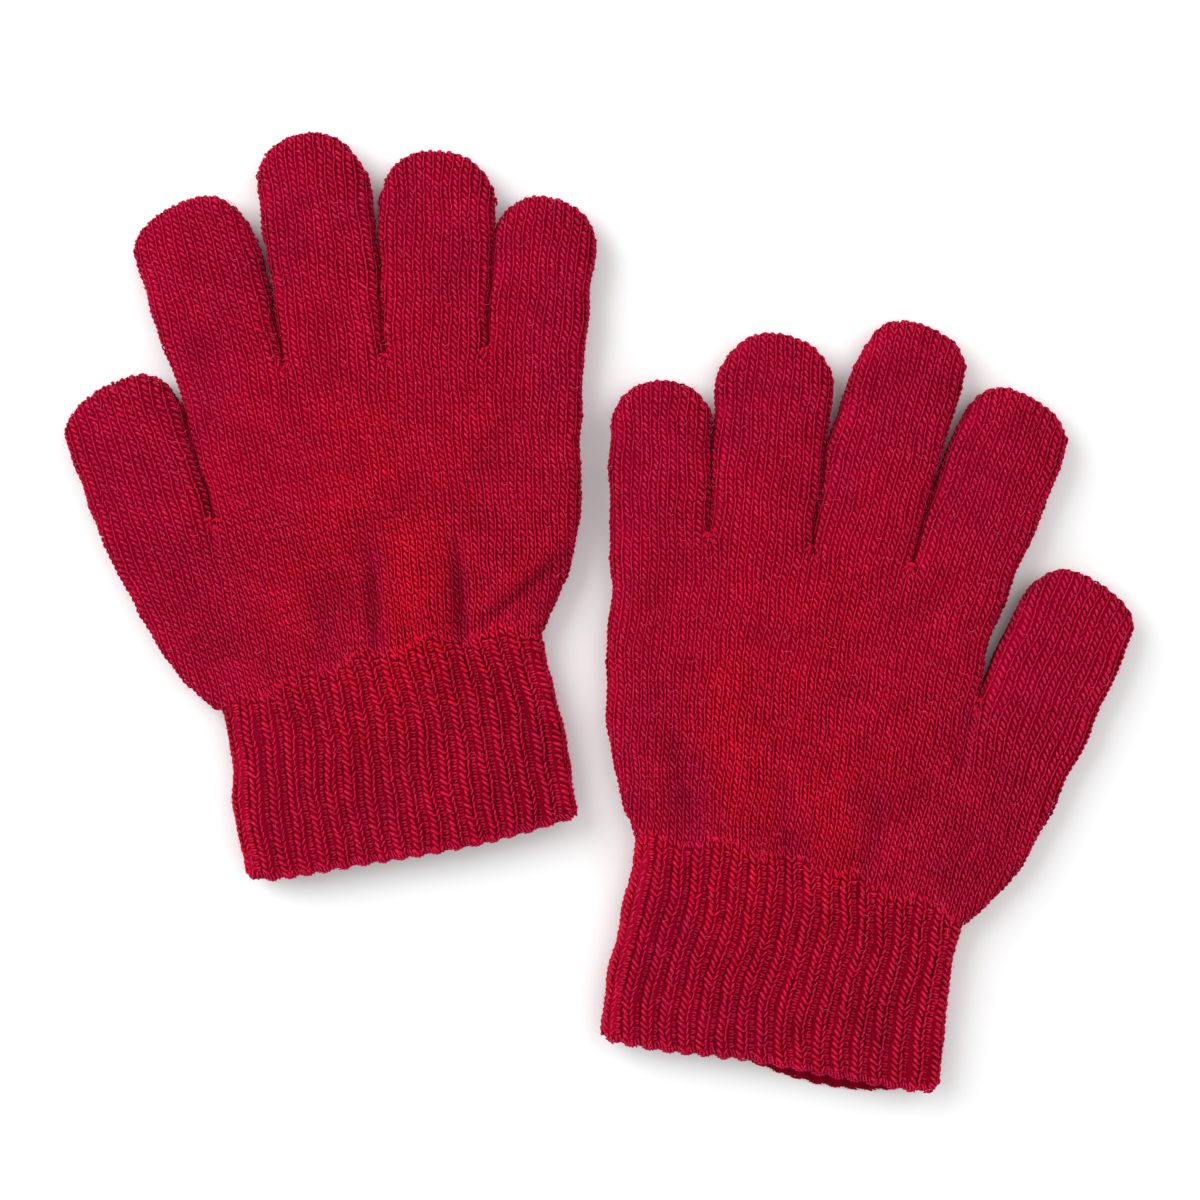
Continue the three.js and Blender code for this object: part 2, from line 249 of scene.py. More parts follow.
def edge_distance(points, edges, dots=()):
    """How far inside the edges each point is, and the direction straight in. Each edge has the
    fabric on its right. Dots are places inside the outline where the fabric is pinned flat."""
    points = np.asarray(points, float)
    best = np.full(len(points), 1e9)
    inward = np.zeros_like(points)
    for edge in edges:
        a, b = edge[:-1], edge[1:]
        d = b - a
        size = np.maximum((d ** 2).sum(-1), 1e-12)
        for start in range(0, len(points), CHUNK):
            part = slice(start, start + CHUNK)
            q = points[part, None, :] - a[None]
            t = np.clip((q * d).sum(-1) / size, 0, 1)
            away = q - t[..., None] * d
            i = np.argmin((away ** 2).sum(-1), axis=1)
            rows = np.arange(len(i))
            v = away[rows, i]
            side = turned(unit(d[i]))
            flat = np.linalg.norm(v, axis=-1)
            sign = np.where((v * side).sum(-1) >= 0, 1.0, -1.0)
            found = flat * sign
            n = np.where(flat[:, None] > 0.05, unit(v) * sign[:, None], side)
            closer = found < best[part]
            best[part] = np.where(closer, found, best[part])
            inward[part] = np.where(closer[:, None], n, inward[part])
    for dot in dots:
        v = points - np.asarray(dot)
        flat = np.linalg.norm(v, axis=-1)
        closer = flat < best
        best = np.where(closer, flat, best)
        inward = np.where(closer[:, None], unit(v), inward)
    return best, inward


# ---- the surface of a flattened tube ------------------------------------------------------

SWELL = 0.30               # the height of the broad waves of the upper face
RIPPLE = 0.22              # and of the narrower ones
FOLD_DEPTH = 1.9           # what the heights in a glove's list of folds are multiplied by
FOLD_END = 9               # how quickly a fold fades past its ends
RIM_TURN = 0.62            # how far the cloth turns round the edge, in half circles


def fold_height(places, glove):
    """The soft folds and swells of a glove's upper face, at places in the plane."""
    x, y = places[..., 0], places[..., 1]
    height = SWELL * np.sin(x / 6.1 + 0.7 * np.sin(y / 9.0)) * np.sin(y / 7.3 + 1.1)
    height = height + RIPPLE * np.sin(x / 3.7 - y / 11.0)
    for start, end, rise, width in glove["folds"]:
        start, end = np.array(start), np.array(end)
        along = end - start
        t = ((places - start) @ along) / (along @ along)
        off = np.abs((places - start) @ turned(unit(along)))
        fade = 1 / (1 + np.exp(-(t + 0.05) * FOLD_END)) / (1 + np.exp((t - 1.0) * FOLD_END))
        height = height + FOLD_DEPTH * rise * np.exp(-(off / width) ** 2) * fade
    return height


def on_surface(place, inward, depth, face, glove, lift=0.0):
    """Points of the fabric in space. place is where each would lie if the cloth were unrolled
    flat, depth how much unrolled cloth is between it and the middle of the rounded edge, inward
    the way in from that edge, face +1 above and -1 below, lift the height out of the cloth."""
    angle = np.clip((1 - depth / RIM_FABRIC) * math.pi / 2, 0, RIM_TURN * math.pi)
    on_rim = depth < RIM_FABRIC
    moved = np.where(on_rim, RIM_REACH * (1 - np.sin(angle)) - (depth - RIM_TAKE), 0.0)
    height = TOP * np.cos(angle)
    out = np.where(on_rim, np.sin(angle) / RIM_REACH, 0.0)
    up = np.cos(angle) / TOP
    size = np.hypot(out, up)
    out, up = out / size, up / size
    plan = place + inward * (moved - out * lift)[..., None]
    z = height + up * lift
    if face > 0:
        z = z + fold_height(plan, glove) * np.clip(height / TOP, 0, 1) ** 2
    else:
        z = z * UNDER_SQUEEZE
    return np.concatenate([plan, np.maximum(MID_HEIGHT + face * z, 0.0)[..., None]], -1)


def cloth_depth(far):
    """How much unrolled cloth lies between the middle of the rounded edge and places that are
    this far inside the outline as seen from above."""
    angle = np.arcsin(np.clip(1 - far / RIM_REACH, 0, 1))
    return np.where(far < RIM_REACH, RIM_FABRIC * (1 - 2 * angle / math.pi), far + RIM_TAKE)


def yarn_points(rows, offset, lift, face, glove):
    """Points of yarn in space, offset along the cloth from the places of the loops in rows."""
    place, _, _, inward, depth, _, _ = rows
    deep = depth[:, None] + (offset * inward[:, None, :]).sum(-1)
    broad = np.broadcast_to(inward[:, None, :], offset.shape)
    return on_surface(place[:, None, :] + offset, broad, deep, face, glove, lift)


# ---- meshes -------------------------------------------------------------------------------


def spindle(rings):
    """The faces of one loop leg: a five-sided bead, pointed at both ends."""
    for o in bpy.context.selected_objects:
        o.select_set(False)
    bpy.ops.mesh.primitive_uv_sphere_add(segments=5, ring_count=rings, radius=1)
    made = bpy.context.object
    bpy.ops.object.mode_set(mode="EDIT")
    bpy.ops.mesh.select_all(action="SELECT")
    bpy.ops.mesh.quads_convert_to_tris()
    bpy.ops.object.mode_set(mode="OBJECT")
    verts = np.array([v.co[:] for v in made.data.vertices])
    faces = np.array([p.vertices[:] for p in made.data.polygons])
    around = np.arctan2(verts[:, 1], verts[:, 0]) / (2 * math.pi) % 1.0
    corner = around[faces]
    pole = np.hypot(verts[:, 0], verts[:, 1])[faces] < 1e-4
    sides = np.where(pole, np.nan, corner)
    wraps = np.nanmax(sides, 1) - np.nanmin(sides, 1) > 0.5
    corner = np.where(wraps[:, None] & (corner < 0.5), corner + 1, corner)
    middle = np.nanmean(np.where(pole, np.nan, corner), axis=1)
    corner = np.where(pole, middle[:, None], corner)
    uv = np.stack([corner, (verts[:, 2] / 2 + 0.5)[faces]], -1)
    bpy.data.meshes.remove(made.data)
    return verts, faces, uv


FULL_BEAD = spindle(4)
SLIM_BEAD = spindle(3)


# Every leg of a loop has a square cell of its own in the map for baked colours.
CELL_MARGIN = 0.08         # from a cell's side to what is drawn in it, as a share of its width
CELL_FILL = 0.84
CELL_SPAN = 1.25           # the longest run round a leg, in turns, that a cell has to hold


def halves(quads, uvs):
    """Four-sided faces and their coordinates cut into triangles."""
    cut = [[0, 1, 2], [0, 2, 3]]
    return np.concatenate([quads[:, c] for c in cut]), np.concatenate([uvs[:, c] for c in cut])


def fill(store, key, values, kind=np.float32):
    store.foreach_set(key, values.astype(kind).ravel())


class Fabric:
    """Gathers the vertices, faces, coordinates and shades of one piece of cloth."""

    def __init__(self):
        self.verts, self.faces, self.uvs, self.slots, self.tones, self.cells = [], [], [], [], [], []
        self.count = 0

    def add(self, verts, faces, uv, slot, tone):
        """verts is copies x corners x 3, faces and uv belong to one copy, tone is one a copy."""
        copies, size = verts.shape[:2]
        if copies == 0:
            return
        self.verts.append(verts.reshape(-1, 3))
        offset = self.count + np.arange(copies)[:, None, None] * size
        self.faces.append((faces[None] + offset).reshape(-1, 3))
        self.uvs.append(np.broadcast_to(uv[None], (copies, *uv.shape)).reshape(-1, 3, 2))
        self.slots.append(np.full(copies * len(faces), slot, np.int32))
        self.tones.append(np.repeat(tone, size))
        first = self.cells[-1][-1] + 1 if self.cells else 0
        self.cells.append(np.repeat(np.arange(copies), len(faces)) + first)
        self.count += copies * size

    def build(self, name, materials):
        verts, faces = np.concatenate(self.verts) * MM, np.concatenate(self.faces)
        uv, cells = np.concatenate(self.uvs), np.concatenate(self.cells)
        mesh = bpy.data.meshes.new(name)
        mesh.vertices.add(len(verts))
        mesh.loops.add(faces.size)
        mesh.polygons.add(len(faces))
        across = math.ceil(math.sqrt(cells[-1] + 1))
        corner = np.stack([cells % across, cells // across], -1)[:, None, :]
        low = uv - np.floor(uv.min(1, keepdims=True))
        packed = (corner + CELL_MARGIN + CELL_FILL * np.clip(low / CELL_SPAN, 0, 1)) / across
        fill(mesh.vertices, "co", verts)
        fill(mesh.loops, "vertex_index", faces, np.int32)
        fill(mesh.polygons, "loop_start", np.arange(0, faces.size, 3), np.int32)
        fill(mesh.polygons, "material_index", np.concatenate(self.slots), np.int32)
        fill(mesh.polygons, "use_smooth", np.ones(len(faces)), bool)
        fill(mesh.uv_layers.new(name="Yarn").uv, "vector", uv)
        fill(mesh.uv_layers.new(name="OFBake").uv, "vector", packed)
        fill(mesh.attributes.new("ToneAndFoldShading", "FLOAT", "POINT").data, "value", np.concatenate(self.tones))
        mesh.update(calc_edges=True)
        mesh.validate()
        for m in materials:
            mesh.materials.append(m)
        piece = bpy.data.objects.new(name, mesh)
        bpy.context.scene.collection.objects.link(piece)
        return piece


# ---- one leg of a loop --------------------------------------------------------------------

# Where a leg starts and ends, across and along its loop (1 is a wale, or a course), how high it
# stands at its middle and at its ends, in millimetres, and its thickness, 1 for the yarn's own.
Leg = collections.namedtuple("Leg", "start end crest ends radius")
SLANTED_LEG = Leg((0.13, -0.62), (-0.40, 0.60), 0.16, -0.20, 1.0)
UPRIGHT_LEG = Leg((0.31, -0.74), (0.35, 0.74), 0.02, -0.10, 0.66)
RIB_LEFT_LEG = Leg((0.10, -0.64), (-0.36, 0.60), 0.20, -0.16, 1.05)
RIB_RIGHT_LEG = Leg((0.17, -0.70), (0.38, 0.70), 0.04, -0.16, 0.74)
PURL_BAR = Leg((-0.55, 0.10), (0.45, -0.10), 0.05, -0.20, 0.95)
PURL_TAIL = Leg((-0.35, -0.60), (0.40, -0.25), 0.00, -0.25, 0.85)
NUB = Leg((-0.5, -0.4), (0.5, 0.4), 0.15, -0.2, 1.0)
EDGE_LOOP = Leg((0.34, -0.80), (-0.34, 0.70), 0.10, -0.30, 1.0)
EDGE_CHAIN = Leg((-0.65, -0.1), (0.65, 0.1), 0.05, -0.10, 1.0)
KNOT = Leg((-0.6, -0.6), (0.6, 0.6), 0.35, -0.25, 1.0)

FLATNESS = 0.8             # how high a leg is for its width
FULL_WIDTH = 1.9           # the wale in which the yarn lies at its own thickness
SWAY, SHIFT, UNEVEN, RISE = 0.05, 0.03, 0.10, 0.04     # how much the legs differ from each other


def leg(fabric, bead, shape, rows, face, glove, radius=YARN_RADIUS):
    """Adds one leg to every loop in rows. A loop has its place, its way up, its width, the way in
    from the nearest edge, the cloth left to that edge, its height over the cloth and its tone, which holds
    painted shade and highlight from the folds."""
    verts, faces, uv = bead
    _, up, width, _, _, height, tone = rows
    n = len(up)
    if n == 0:
        return
    t = verts[:, 2]
    (x0, y0), (x1, y1) = shape.start, shape.end
    share = (t + 1) / 2
    sway = rng.normal(0, SWAY, (n, 1))
    x = (x0 + (x1 - x0) * share + sway * t) * width[:, None] * face
    y = (y0 + (y1 - y0) * share + rng.normal(0, SHIFT, (n, 1))) * COURSE
    rise = shape.ends + (shape.crest - shape.ends) * (1 - t ** 2)
    thick = radius * shape.radius * (1 + rng.normal(0, UNEVEN, (n, 1)))
    thick = thick * np.sqrt(np.clip(width[:, None] / FULL_WIDTH, 0.5, 1.15))
    round_off = np.hypot(verts[:, 0], verts[:, 1]) ** 0.6
    circle = unit(verts[:, :2] + 1e-9) * round_off[:, None]
    dx = (x1 - x0) * width * face
    dy = np.full(n, (y1 - y0) * COURSE)
    size = np.hypot(dx, dy)
    x = x + (dy / size)[:, None] * circle[:, 1] * thick * face
    y = y + (-dx / size)[:, None] * circle[:, 1] * thick * face
    lift = rise + circle[:, 0] * thick * FLATNESS + height[:, None] + rng.normal(0, RISE, (n, 1))
    offset = turned(up)[:, None, :] * x[..., None] + up[:, None, :] * y[..., None]
    fabric.add(yarn_points(rows, offset, lift, face, glove), faces, uv, 0, tone)


# ---- loose fibres -------------------------------------------------------------------------

FIBRE_RADIUS = 0.040
FIBRE_RINGS = 3
FUZZ_SHARE = 0.12          # the share of loops with a loose fibre, before fuzz() weights it


def fibre_shape():
    """A three-sided thread that narrows to a point: its corners' places round and along it."""
    around, along = [], []
    for ring in range(FIBRE_RINGS):
        for corner in range(3):
            around.append(corner * 2 * math.pi / 3)
            along.append(ring / FIBRE_RINGS)
    faces = []
    for ring in range(FIBRE_RINGS - 1):
        for corner in range(3):
            a, b = ring * 3 + corner, ring * 3 + (corner + 1) % 3
            faces += [(a, b, b + 3), (a, b + 3, a + 3)]
    last, tip = (FIBRE_RINGS - 1) * 3, FIBRE_RINGS * 3
    faces += [(last + c, last + (c + 1) % 3, tip) for c in range(3)] + [(0, 2, 1)]
    return np.array(around + [0.0]), np.array(along + [1.0]), np.array(faces)


def fuzz(fabric, rows, face, glove):
    """Fine curved fibres that stand off some of the loops in rows, more of them at the edges."""
    chance = FUZZ_SHARE * np.where(rows[4] < 2.0, 4.5, 0.8)
    pick = rng.uniform(size=len(rows[0])) < chance
    rows = [a[pick] for a in rows]
    n = len(rows[0])
    if n == 0:
        return
    around, along, faces = fibre_shape()
    length = rng.uniform(0.9, 2.6, n)[:, None]
    angle = rng.uniform(0, 2 * math.pi, n)
    curl = angle[:, None] + rng.normal(0, 1.1, n)[:, None] * along[None]
    stand = rng.uniform(0.15, 0.75, n)[:, None]
    reach = np.stack([np.cos(curl), np.sin(curl)], -1)
    reach = reach * (along * length * np.sqrt(1 - stand ** 2))[..., None]
    thin = FIBRE_RADIUS * (1 - along[None])
    bent = np.stack([-np.sin(curl), np.cos(curl)], -1)
    offset = reach + bent * (np.cos(around)[None] * thin)[..., None]
    lift = 0.3 + rows[5][:, None] + length * stand * along + np.sin(around)[None] * thin
    turned_out = faces if face > 0 else faces[:, ::-1]
    uv = np.stack([around / (2 * math.pi), along], -1)[turned_out]
    fabric.add(yarn_points(rows, offset, lift, face, glove), turned_out, uv, 1, np.zeros(n))


# ---- columns of loops ---------------------------------------------------------------------


def wale_rows(lines, starts):
    """Loops along lines, each a polyline of its own from start to end. Returns places, ways along
    the line, the line each is on and its share of that line's length."""
    found = []
    for k, (line, start) in enumerate(zip(lines, starts)):
        total = length_along(line)[-1]
        runs = np.arange(start % COURSE, total, COURSE)
        ahead = at_lengths(line, np.minimum(runs + 0.5, total))
        behind = at_lengths(line, np.maximum(runs - 0.5, 0))
        index = np.full(len(runs), k)
        found.append((at_lengths(line, runs), unit(ahead - behind), index, runs / total))
    return [np.concatenate(column) for column in zip(*found)]


def side_of(points, line):
    """How far points lie to the left of the line from its first point to its second."""
    a, b = np.array(line[0], float), np.array(line[1], float)
    return -(points - a) @ turned(unit(b - a))


def between(left, right, shares):
    """Places on the straight lines from left to right, a row for every place in them."""
    return left[:, None, :] * (1 - shares)[None, :, None] + right[:, None, :] * shares[None, :, None]


CUFF_SURPLUS = 8.0         # how far the cuff's sides and ribs go on above the wrist line
HEM_STEPS = 120


class Glove:
    """The lines that the sections of one glove share."""

    def __init__(self, data):
        self.data = data
        self.side = data["side"]
        self.thumb_left = self.side == "left"
        k0, k1 = (np.array(p, float) for p in data["knuckles"])
        self.knuckles = (k0, k1)
        self.across = unit(k1 - k0)
        self.up = -turned(self.across)
        self.forks = [k0 + (k1 - k0) * (x - k0[0]) / (k1[0] - k0[0]) for x in data["forks"]]
        corners = [k0, *self.forks, k1]
        self.bases = [(corners[i], corners[i + 1]) for i in range(4)]
        self.thumb_fork = np.array(data["thumb_fork"], float)
        self.seam = (self.thumb_fork, self.thumb_fork + self.across)
        self.wrist = tuple(np.array(p, float) for p in data["wrist"])
        self.thumb_base = tuple(np.array(p, float) for p in data["thumb_base"])
        fingers = data["fingers"] if self.thumb_left else data["fingers"][::-1]
        index, little, thumb = fingers[0], fingers[3], data["thumb"]
        down, index_side, heel = data["little_side"], data["index_side"], data["heel"]
        left, right = data["cuff_left"], data["cuff_right"]
        cuffs = left[0], right[0]
        if self.thumb_left:
            little_line = [little[3][1], k1, *down, self.wrist[1], cuffs[1]]
            hand_line = [self.thumb_fork, *index_side[::-1], k0, index[1][0]]
            heel_line = [cuffs[0], self.wrist[0], *heel[::-1], self.thumb_base[0], thumb[1][0]]
        else:
            little_line = [cuffs[0], self.wrist[0], *down[::-1], k0, little[1][0]]
            hand_line = [index[3][1], k1, *index_side, self.thumb_fork]
            heel_line = [thumb[3][1], self.thumb_base[1], *heel, self.wrist[1], cuffs[1]]
        self.little_edge = softened(little_line, reach=1.8)
        self.hand_edge = softened(hand_line, reach=1.2)
        self.heel_edge = softened(heel_line, reach=1.8)
        top = np.array(data["wrist"])
        above = [top[i] + unit(top[i] - np.array(cuffs[i])) * CUFF_SURPLUS for i in (0, 1)]
        low_left, low_right = (2 * np.array(side[-1]) - np.array(side[-2]) for side in (left, right))
        self.cuff_edges = [
            softened([low_left, *left[::-1], top[0], above[0]], reach=1.8),
            softened([above[1], top[1], *right, low_right], reach=1.8),
        ]
        self.hem = through(data["hem"], np.linspace(0, 1, HEM_STEPS))
        sides = []
        for edge in self.cuff_edges:
            line = edge[(side_of(edge, self.wrist) <= 0) & (hem_gap(self, edge) >= 0)]
            line = line if side_of(line, self.wrist)[0] > side_of(line, self.wrist)[-1] else line[::-1]
            sides.append(resampled(line, STEPS))
        self.cuff_left, self.cuff_right = sides
        self.palm_edges = [self.little_edge, self.hand_edge]
        self.heel_edges = [self.little_edge, self.heel_edge]

    def body(self, part):
        return f"{self.side}_{part}"


def spacing(grid):
    """The width of the wales in a grid of places, lines x steps x 2, square to the wales."""
    across = np.gradient(grid, axis=0)
    along = unit(np.gradient(grid, axis=1))
    return np.abs((across * turned(along)).sum(-1))


def wales_between(left, right, count):
    """Lines down the middles of count wales side by side, from the left side to the right."""
    shares = (np.arange(count) + 0.5) / count
    return np.swapaxes(between(left, right, shares), 0, 1)


def hand_wales(g):
    """The wales of the four fingers' width of the hand, from the knuckles down to the wrist."""
    t = np.linspace(0, 1, STEPS)
    left, right = through(g.data["wale_left"], t), through(g.data["wale_right"], t)
    way = unit(right - left)
    inner = np.interp(t, [0.0, 0.5, 0.75], [RIM_TAKE, RIM_TAKE, 0.0])[:, None]
    outer = np.full((STEPS, 1), RIM_TAKE)
    a, b = (inner, outer) if g.thumb_left else (outer, inner)
    return wales_between(left - way * a, right + way * b, HAND_WALES)


def thumb_wales(g):
    """The wales of the thumb's share of the hand, from the base of the thumb to the wrist."""
    t = np.linspace(0, 1, STEPS)
    end = 0 if g.thumb_left else 1
    beyond = g.across * (-1 if g.thumb_left else 1)
    heel = np.array([g.thumb_base[end], g.data["heel"][0], g.data["heel"][2], g.wrist[end]], float)
    outer = through(heel + beyond * np.array([[0.0], [0.0], [3.5], [9.0]]), t)
    inner = through(g.data["wale_left" if g.thumb_left else "wale_right"], 0.5 + t / 2)
    way = unit(outer - inner)
    outer = outer + way * RIM_TAKE
    inner = inner - way * np.interp(t, [0, 0.5], [RIM_TAKE, 0.0])[:, None]
    left, right = (outer, inner) if g.thumb_left else (inner, outer)
    return wales_between(left, right, THUMB_WALES)


def first_row_phases(grid):
    """How far each wale's loops are shifted, so that the first rows run square to the wales."""
    ways = -unit(grid[:, 1] - grid[:, 0])
    steps = np.diff(grid[:, 0], axis=0)
    return np.concatenate([[0], np.cumsum((ways[:-1] * steps).sum(-1))])


MIN_DEPTH = -0.40          # how far round the edge, past its middle, loops are still knitted
WARM_REACH = np.array([44.0, 60.0])    # the warm part of the palm, across and along the glove
WARM_SIDE = 8              # how far it lies from the middle, towards the little finger
DEEP_FOLD = 1.8            # the fold height that sets the full painted shade in a hollow and the full painted highlight on a swell


def loops(g, places, ways, widths, edges, dots=(), height=None, least=MIN_DEPTH):
    """Makes rows of loops for leg() from their places, leaving out what the edge cuts off."""
    far, inward = edge_distance(places, edges, dots)
    depth = far + RIM_TAKE
    x, y = places[:, 0], places[:, 1]
    wander = 0.20 * np.sin(y / 2.9 + x / 4.3) + 0.12 * np.sin(y / 1.7 - x / 2.3)
    places = places + turned(ways) * wander[:, None] + rng.normal(0, 0.045, places.shape)
    keep = depth > least
    if height is None:
        height = np.zeros(len(places))
    return [a[keep] for a in (places, ways, widths, inward, depth, height, tone_and_fold_shading_at(g, places))]


def tone_and_fold_shading_at(g, places):
    """0 where the yarn looks bluer, at the thumb and the outer fingers, to 1 in the warm palm.
    Below 0 the colour is darkened with painted shade, deep in a fold, and above 1 it is brightened with
    painted highlight, on a swell."""
    centre = (g.thumb_fork + g.wrist[0] + g.wrist[1] + g.knuckles[0] + g.knuckles[1]) / 5
    centre = centre + g.across * (WARM_SIDE if g.thumb_left else -WARM_SIDE)
    away = np.linalg.norm((places - centre) / WARM_REACH, axis=-1)
    tone = np.clip(1.15 - away ** 1.5, 0, 1) + rng.normal(0, 0.10, len(places))
    fold = fold_height(places, g.data) / DEEP_FOLD
    # The folds paint shade into the tone in their hollows and highlight on their swells.
    return tone + np.where(fold > 0, 0.7 * fold, 1.1 * fold)


LONGEST_FINGER = 62.0
DRIFT_LENGTH = 24.0        # the length over which a finger's rows come to lie square to it


def finger_loops(g, finger, base, wales, phases, own, edges):
    """The loops of one finger: straight, parallel wales that go on from those of the hand. Its
    rows start where the hand's rows end and drift until they lie square to the finger."""
    _, left, _, right = finger
    middle = (base[0] + base[1]) / 2
    up = unit((np.array(left[1]) + np.array(right[0])) / 2 - middle)
    rows = np.arange(0, LONGEST_FINGER, COURSE)
    drift = own - phases
    drift = drift - drift.mean()
    places = []
    for p, phase, slant in zip(wales, phases, drift):
        run = rows + (-phase) % COURSE
        places.append(p + up * (run - slant * eased(run / DRIFT_LENGTH))[:, None])
    places = np.concatenate(places)
    pitch = np.linalg.norm(wales[1] - wales[0]) * abs(turned(up) @ unit(wales[1] - wales[0]))
    ways = np.repeat(up[None], len(places), 0)
    return loops(g, places, ways, np.full(len(places), pitch), edges)


def hand_loops(g, grid, phases, edges, dots, inside):
    """The loops of a part of the hand: those on the grid's wales that inside() keeps."""
    widths = spacing(grid)
    places, ways, index, shares = wale_rows(list(grid), phases)
    run = np.linspace(0, 1, STEPS)
    width = np.array([np.interp(s, run, widths[k]) for k, s in zip(index, shares)])
    keep = inside(places)
    places = places[keep]
    return loops(g, places, -ways[keep], width[keep], edges, dots, height=rib_start(g, places, edges))


# ---- the rib cuff -------------------------------------------------------------------------

RIB_RISE = 7.0             # the length over which a rib rises out of the plain fabric


def rib_share(g, places):
    """Where places fall across the cuff, counted in ribs, 0 at the left edge of the wrist."""
    a, b = g.wrist
    along = unit(b - a)
    return ((places - a) @ along + RIM_TAKE) / (np.linalg.norm(b - a) + 2 * RIM_TAKE) * RIBS


def rib_top(share):
    """How far above the wrist line the ribs start: furthest in the middle, each a little askew."""
    middle = np.clip(share / RIBS, 0, 1)
    return 1.6 + 4.0 * np.sin(math.pi * middle) + 1.1 * np.sin(share * 1.7)


def rib_ramp(g, share, above):
    """0 in the plain fabric above the wrist, rising to 1 where the ribs stand fully."""
    return eased((rib_top(share) + 1.5 - above) / RIB_RISE)


def rib_sway(g, share, run):
    """How far the ribs swing to one side, in millimetres, at a share of the way from wrist to
    edge. They don't swing at the cuff's folded sides."""
    held = np.clip(np.sin(math.pi * np.clip(share / RIBS, 0, 1)), 0, 1) ** 0.6
    return g.data["rib_sway"] * held * np.sin(2 * math.pi * np.clip(run, 0, 1))


def rib_profile(g, share, above, side=1.0):
    """The height of the ribbed fabric over its plain surface, at a share of the cuff's width and
    a length above the wrist line. side is 1 on the face and fades to 0 at the folded edges."""
    ramp = rib_ramp(g, share, above) * side
    wave = np.cos((share - 0.5) * 2 * math.pi)
    return ramp * ((RIB_HEIGHT + TROUGH_DEPTH) / 2 * wave + (RIB_HEIGHT - TROUGH_DEPTH) / 2)


def face_share(far):
    """1 on the face of the glove, falling to 0 at its folded edges."""
    return eased((far - 0.6) / 4.0)


def rib_start(g, places, edges):
    """Above the wrist the wales gather into ribs: some rise, the ones between them sink."""
    far, _ = edge_distance(places, edges)
    return rib_profile(g, rib_share(g, places), side_of(places, g.wrist), face_share(far))


def hem_gap(g, places, drop=0.0):
    """How far places are above the edge of the cuff."""
    edge_y = np.interp(places[:, 0], g.hem[:, 0], g.hem[:, 1])
    slope = np.interp(places[:, 0], g.hem[:, 0], np.gradient(g.hem[:, 1], g.hem[:, 0]))
    return (places[:, 1] - edge_y + drop) / np.hypot(1, slope)


PLAIN_WIDTH = 1.85         # the width of the plain wales at the top of the cuff
CUFF_TONE = 0.40           # how far the cuff's loops are moved towards the warm, bright end of the tone
RIB_SHARE_OF_RISE = 0.45   # where along the rise the plain loops give way to rib and purl ones
HEM_MARGIN = 0.75          # how close to the edge the loops come
HEM_SURPLUS = 4.0          # how far the ribs' lines go on below the edge
FOLD_LINE = 19.0           # how far above its edge the right cuff was folded
FOLD_STEP = 0.3


def ribbed(g, rows):
    """Which loops of rows lie where the ribs already stand."""
    return rib_ramp(g, rib_share(g, rows[0]), side_of(rows[0], g.wrist)) > RIB_SHARE_OF_RISE


def cuff_knit(cloth, g, rows, face, stitches):
    """Knits rows with plain loops at the wrist and with stitches below."""
    low = ribbed(g, rows)
    knit(cloth, [a[low] for a in rows], face, g.data, stitches)
    knit(cloth, [a[~low] for a in rows], face, g.data)


def cuff_wales(g, offset):
    """Lines down the middles of the ribs, or with an offset of a half the troughs beside them."""
    left = g.cuff_left + unit(g.cuff_left - g.cuff_right) * RIM_TAKE
    right = g.cuff_right + unit(g.cuff_right - g.cuff_left) * RIM_TAKE
    shares = (np.arange(-1, RIBS + 1) + 0.5 + offset) / RIBS
    lines = np.swapaxes(between(left, right, shares), 0, 1)
    run = np.linspace(0, 1, lines.shape[1])
    sway = rib_sway(g, shares[:, None] * RIBS, run[None])
    lines = lines + unit(g.wrist[1] - g.wrist[0]) * sway[..., None]
    rise = unit(lines[:, :1] - lines[:, 8:9]) * CUFF_SURPLUS
    fall = unit(lines[:, -1:] - lines[:, -9:-8]) * HEM_SURPLUS
    return np.concatenate([lines[:, :1] + rise, lines, lines[:, -1:] + fall], axis=1), shares * RIBS


def cuff_loops(g, offset, face, width, lift=0.0):
    """One column of loops on every rib, or in every trough. At the wrist each is a plain wale,
    as wide as those of the hand, and lower down it takes its own width."""
    lines, shares = cuff_wales(g, offset)
    places, ways, index, _ = wale_rows(list(lines), rng.uniform(0, COURSE, len(lines)))
    share = shares[index]
    drop = back_drop(g, places) if face < 0 else 0.0
    above = side_of(places, g.wrist)
    keep = (hem_gap(g, places, drop) > HEM_MARGIN) & (above < rib_top(share))
    places, ways, share, above = places[keep], ways[keep], share[keep], above[keep]
    far, _ = edge_distance(places, g.cuff_edges)
    side = face_share(far)
    high = rib_profile(g, share, above, side) + lift
    if face > 0:
        high = high + hem_fold(g, places) * side
    ramp = rib_ramp(g, share, above)
    sizes = (PLAIN_WIDTH + (width - PLAIN_WIDTH) * ramp) * (1 + 0.12 * (1 - side))
    rows = loops(g, places, -ways, sizes, g.cuff_edges, height=high, least=-0.1)
    rows[-1] = rows[-1] + CUFF_TONE
    return rows


def back_drop(g, places):
    """How much lower the under layer's edge lies than the upper one's, where the mouth gapes."""
    f = np.clip(rib_share(g, places) / RIBS, 0, 1)
    return g.data["mouth_gape"] * np.clip(np.sin(math.pi * (f - 0.45) / 0.54), 0, 1) ** 0.7


def hem_fold(g, places):
    """A low ridge across the middle of the right cuff, where it was once folded."""
    if g.thumb_left:
        return np.zeros(len(places))
    line = FOLD_LINE + 2.0 * np.sin(places[:, 0] / 11.0)
    return FOLD_STEP * np.exp(-(hem_gap(g, places) - line) ** 2)


# ---- linings ------------------------------------------------------------------------------


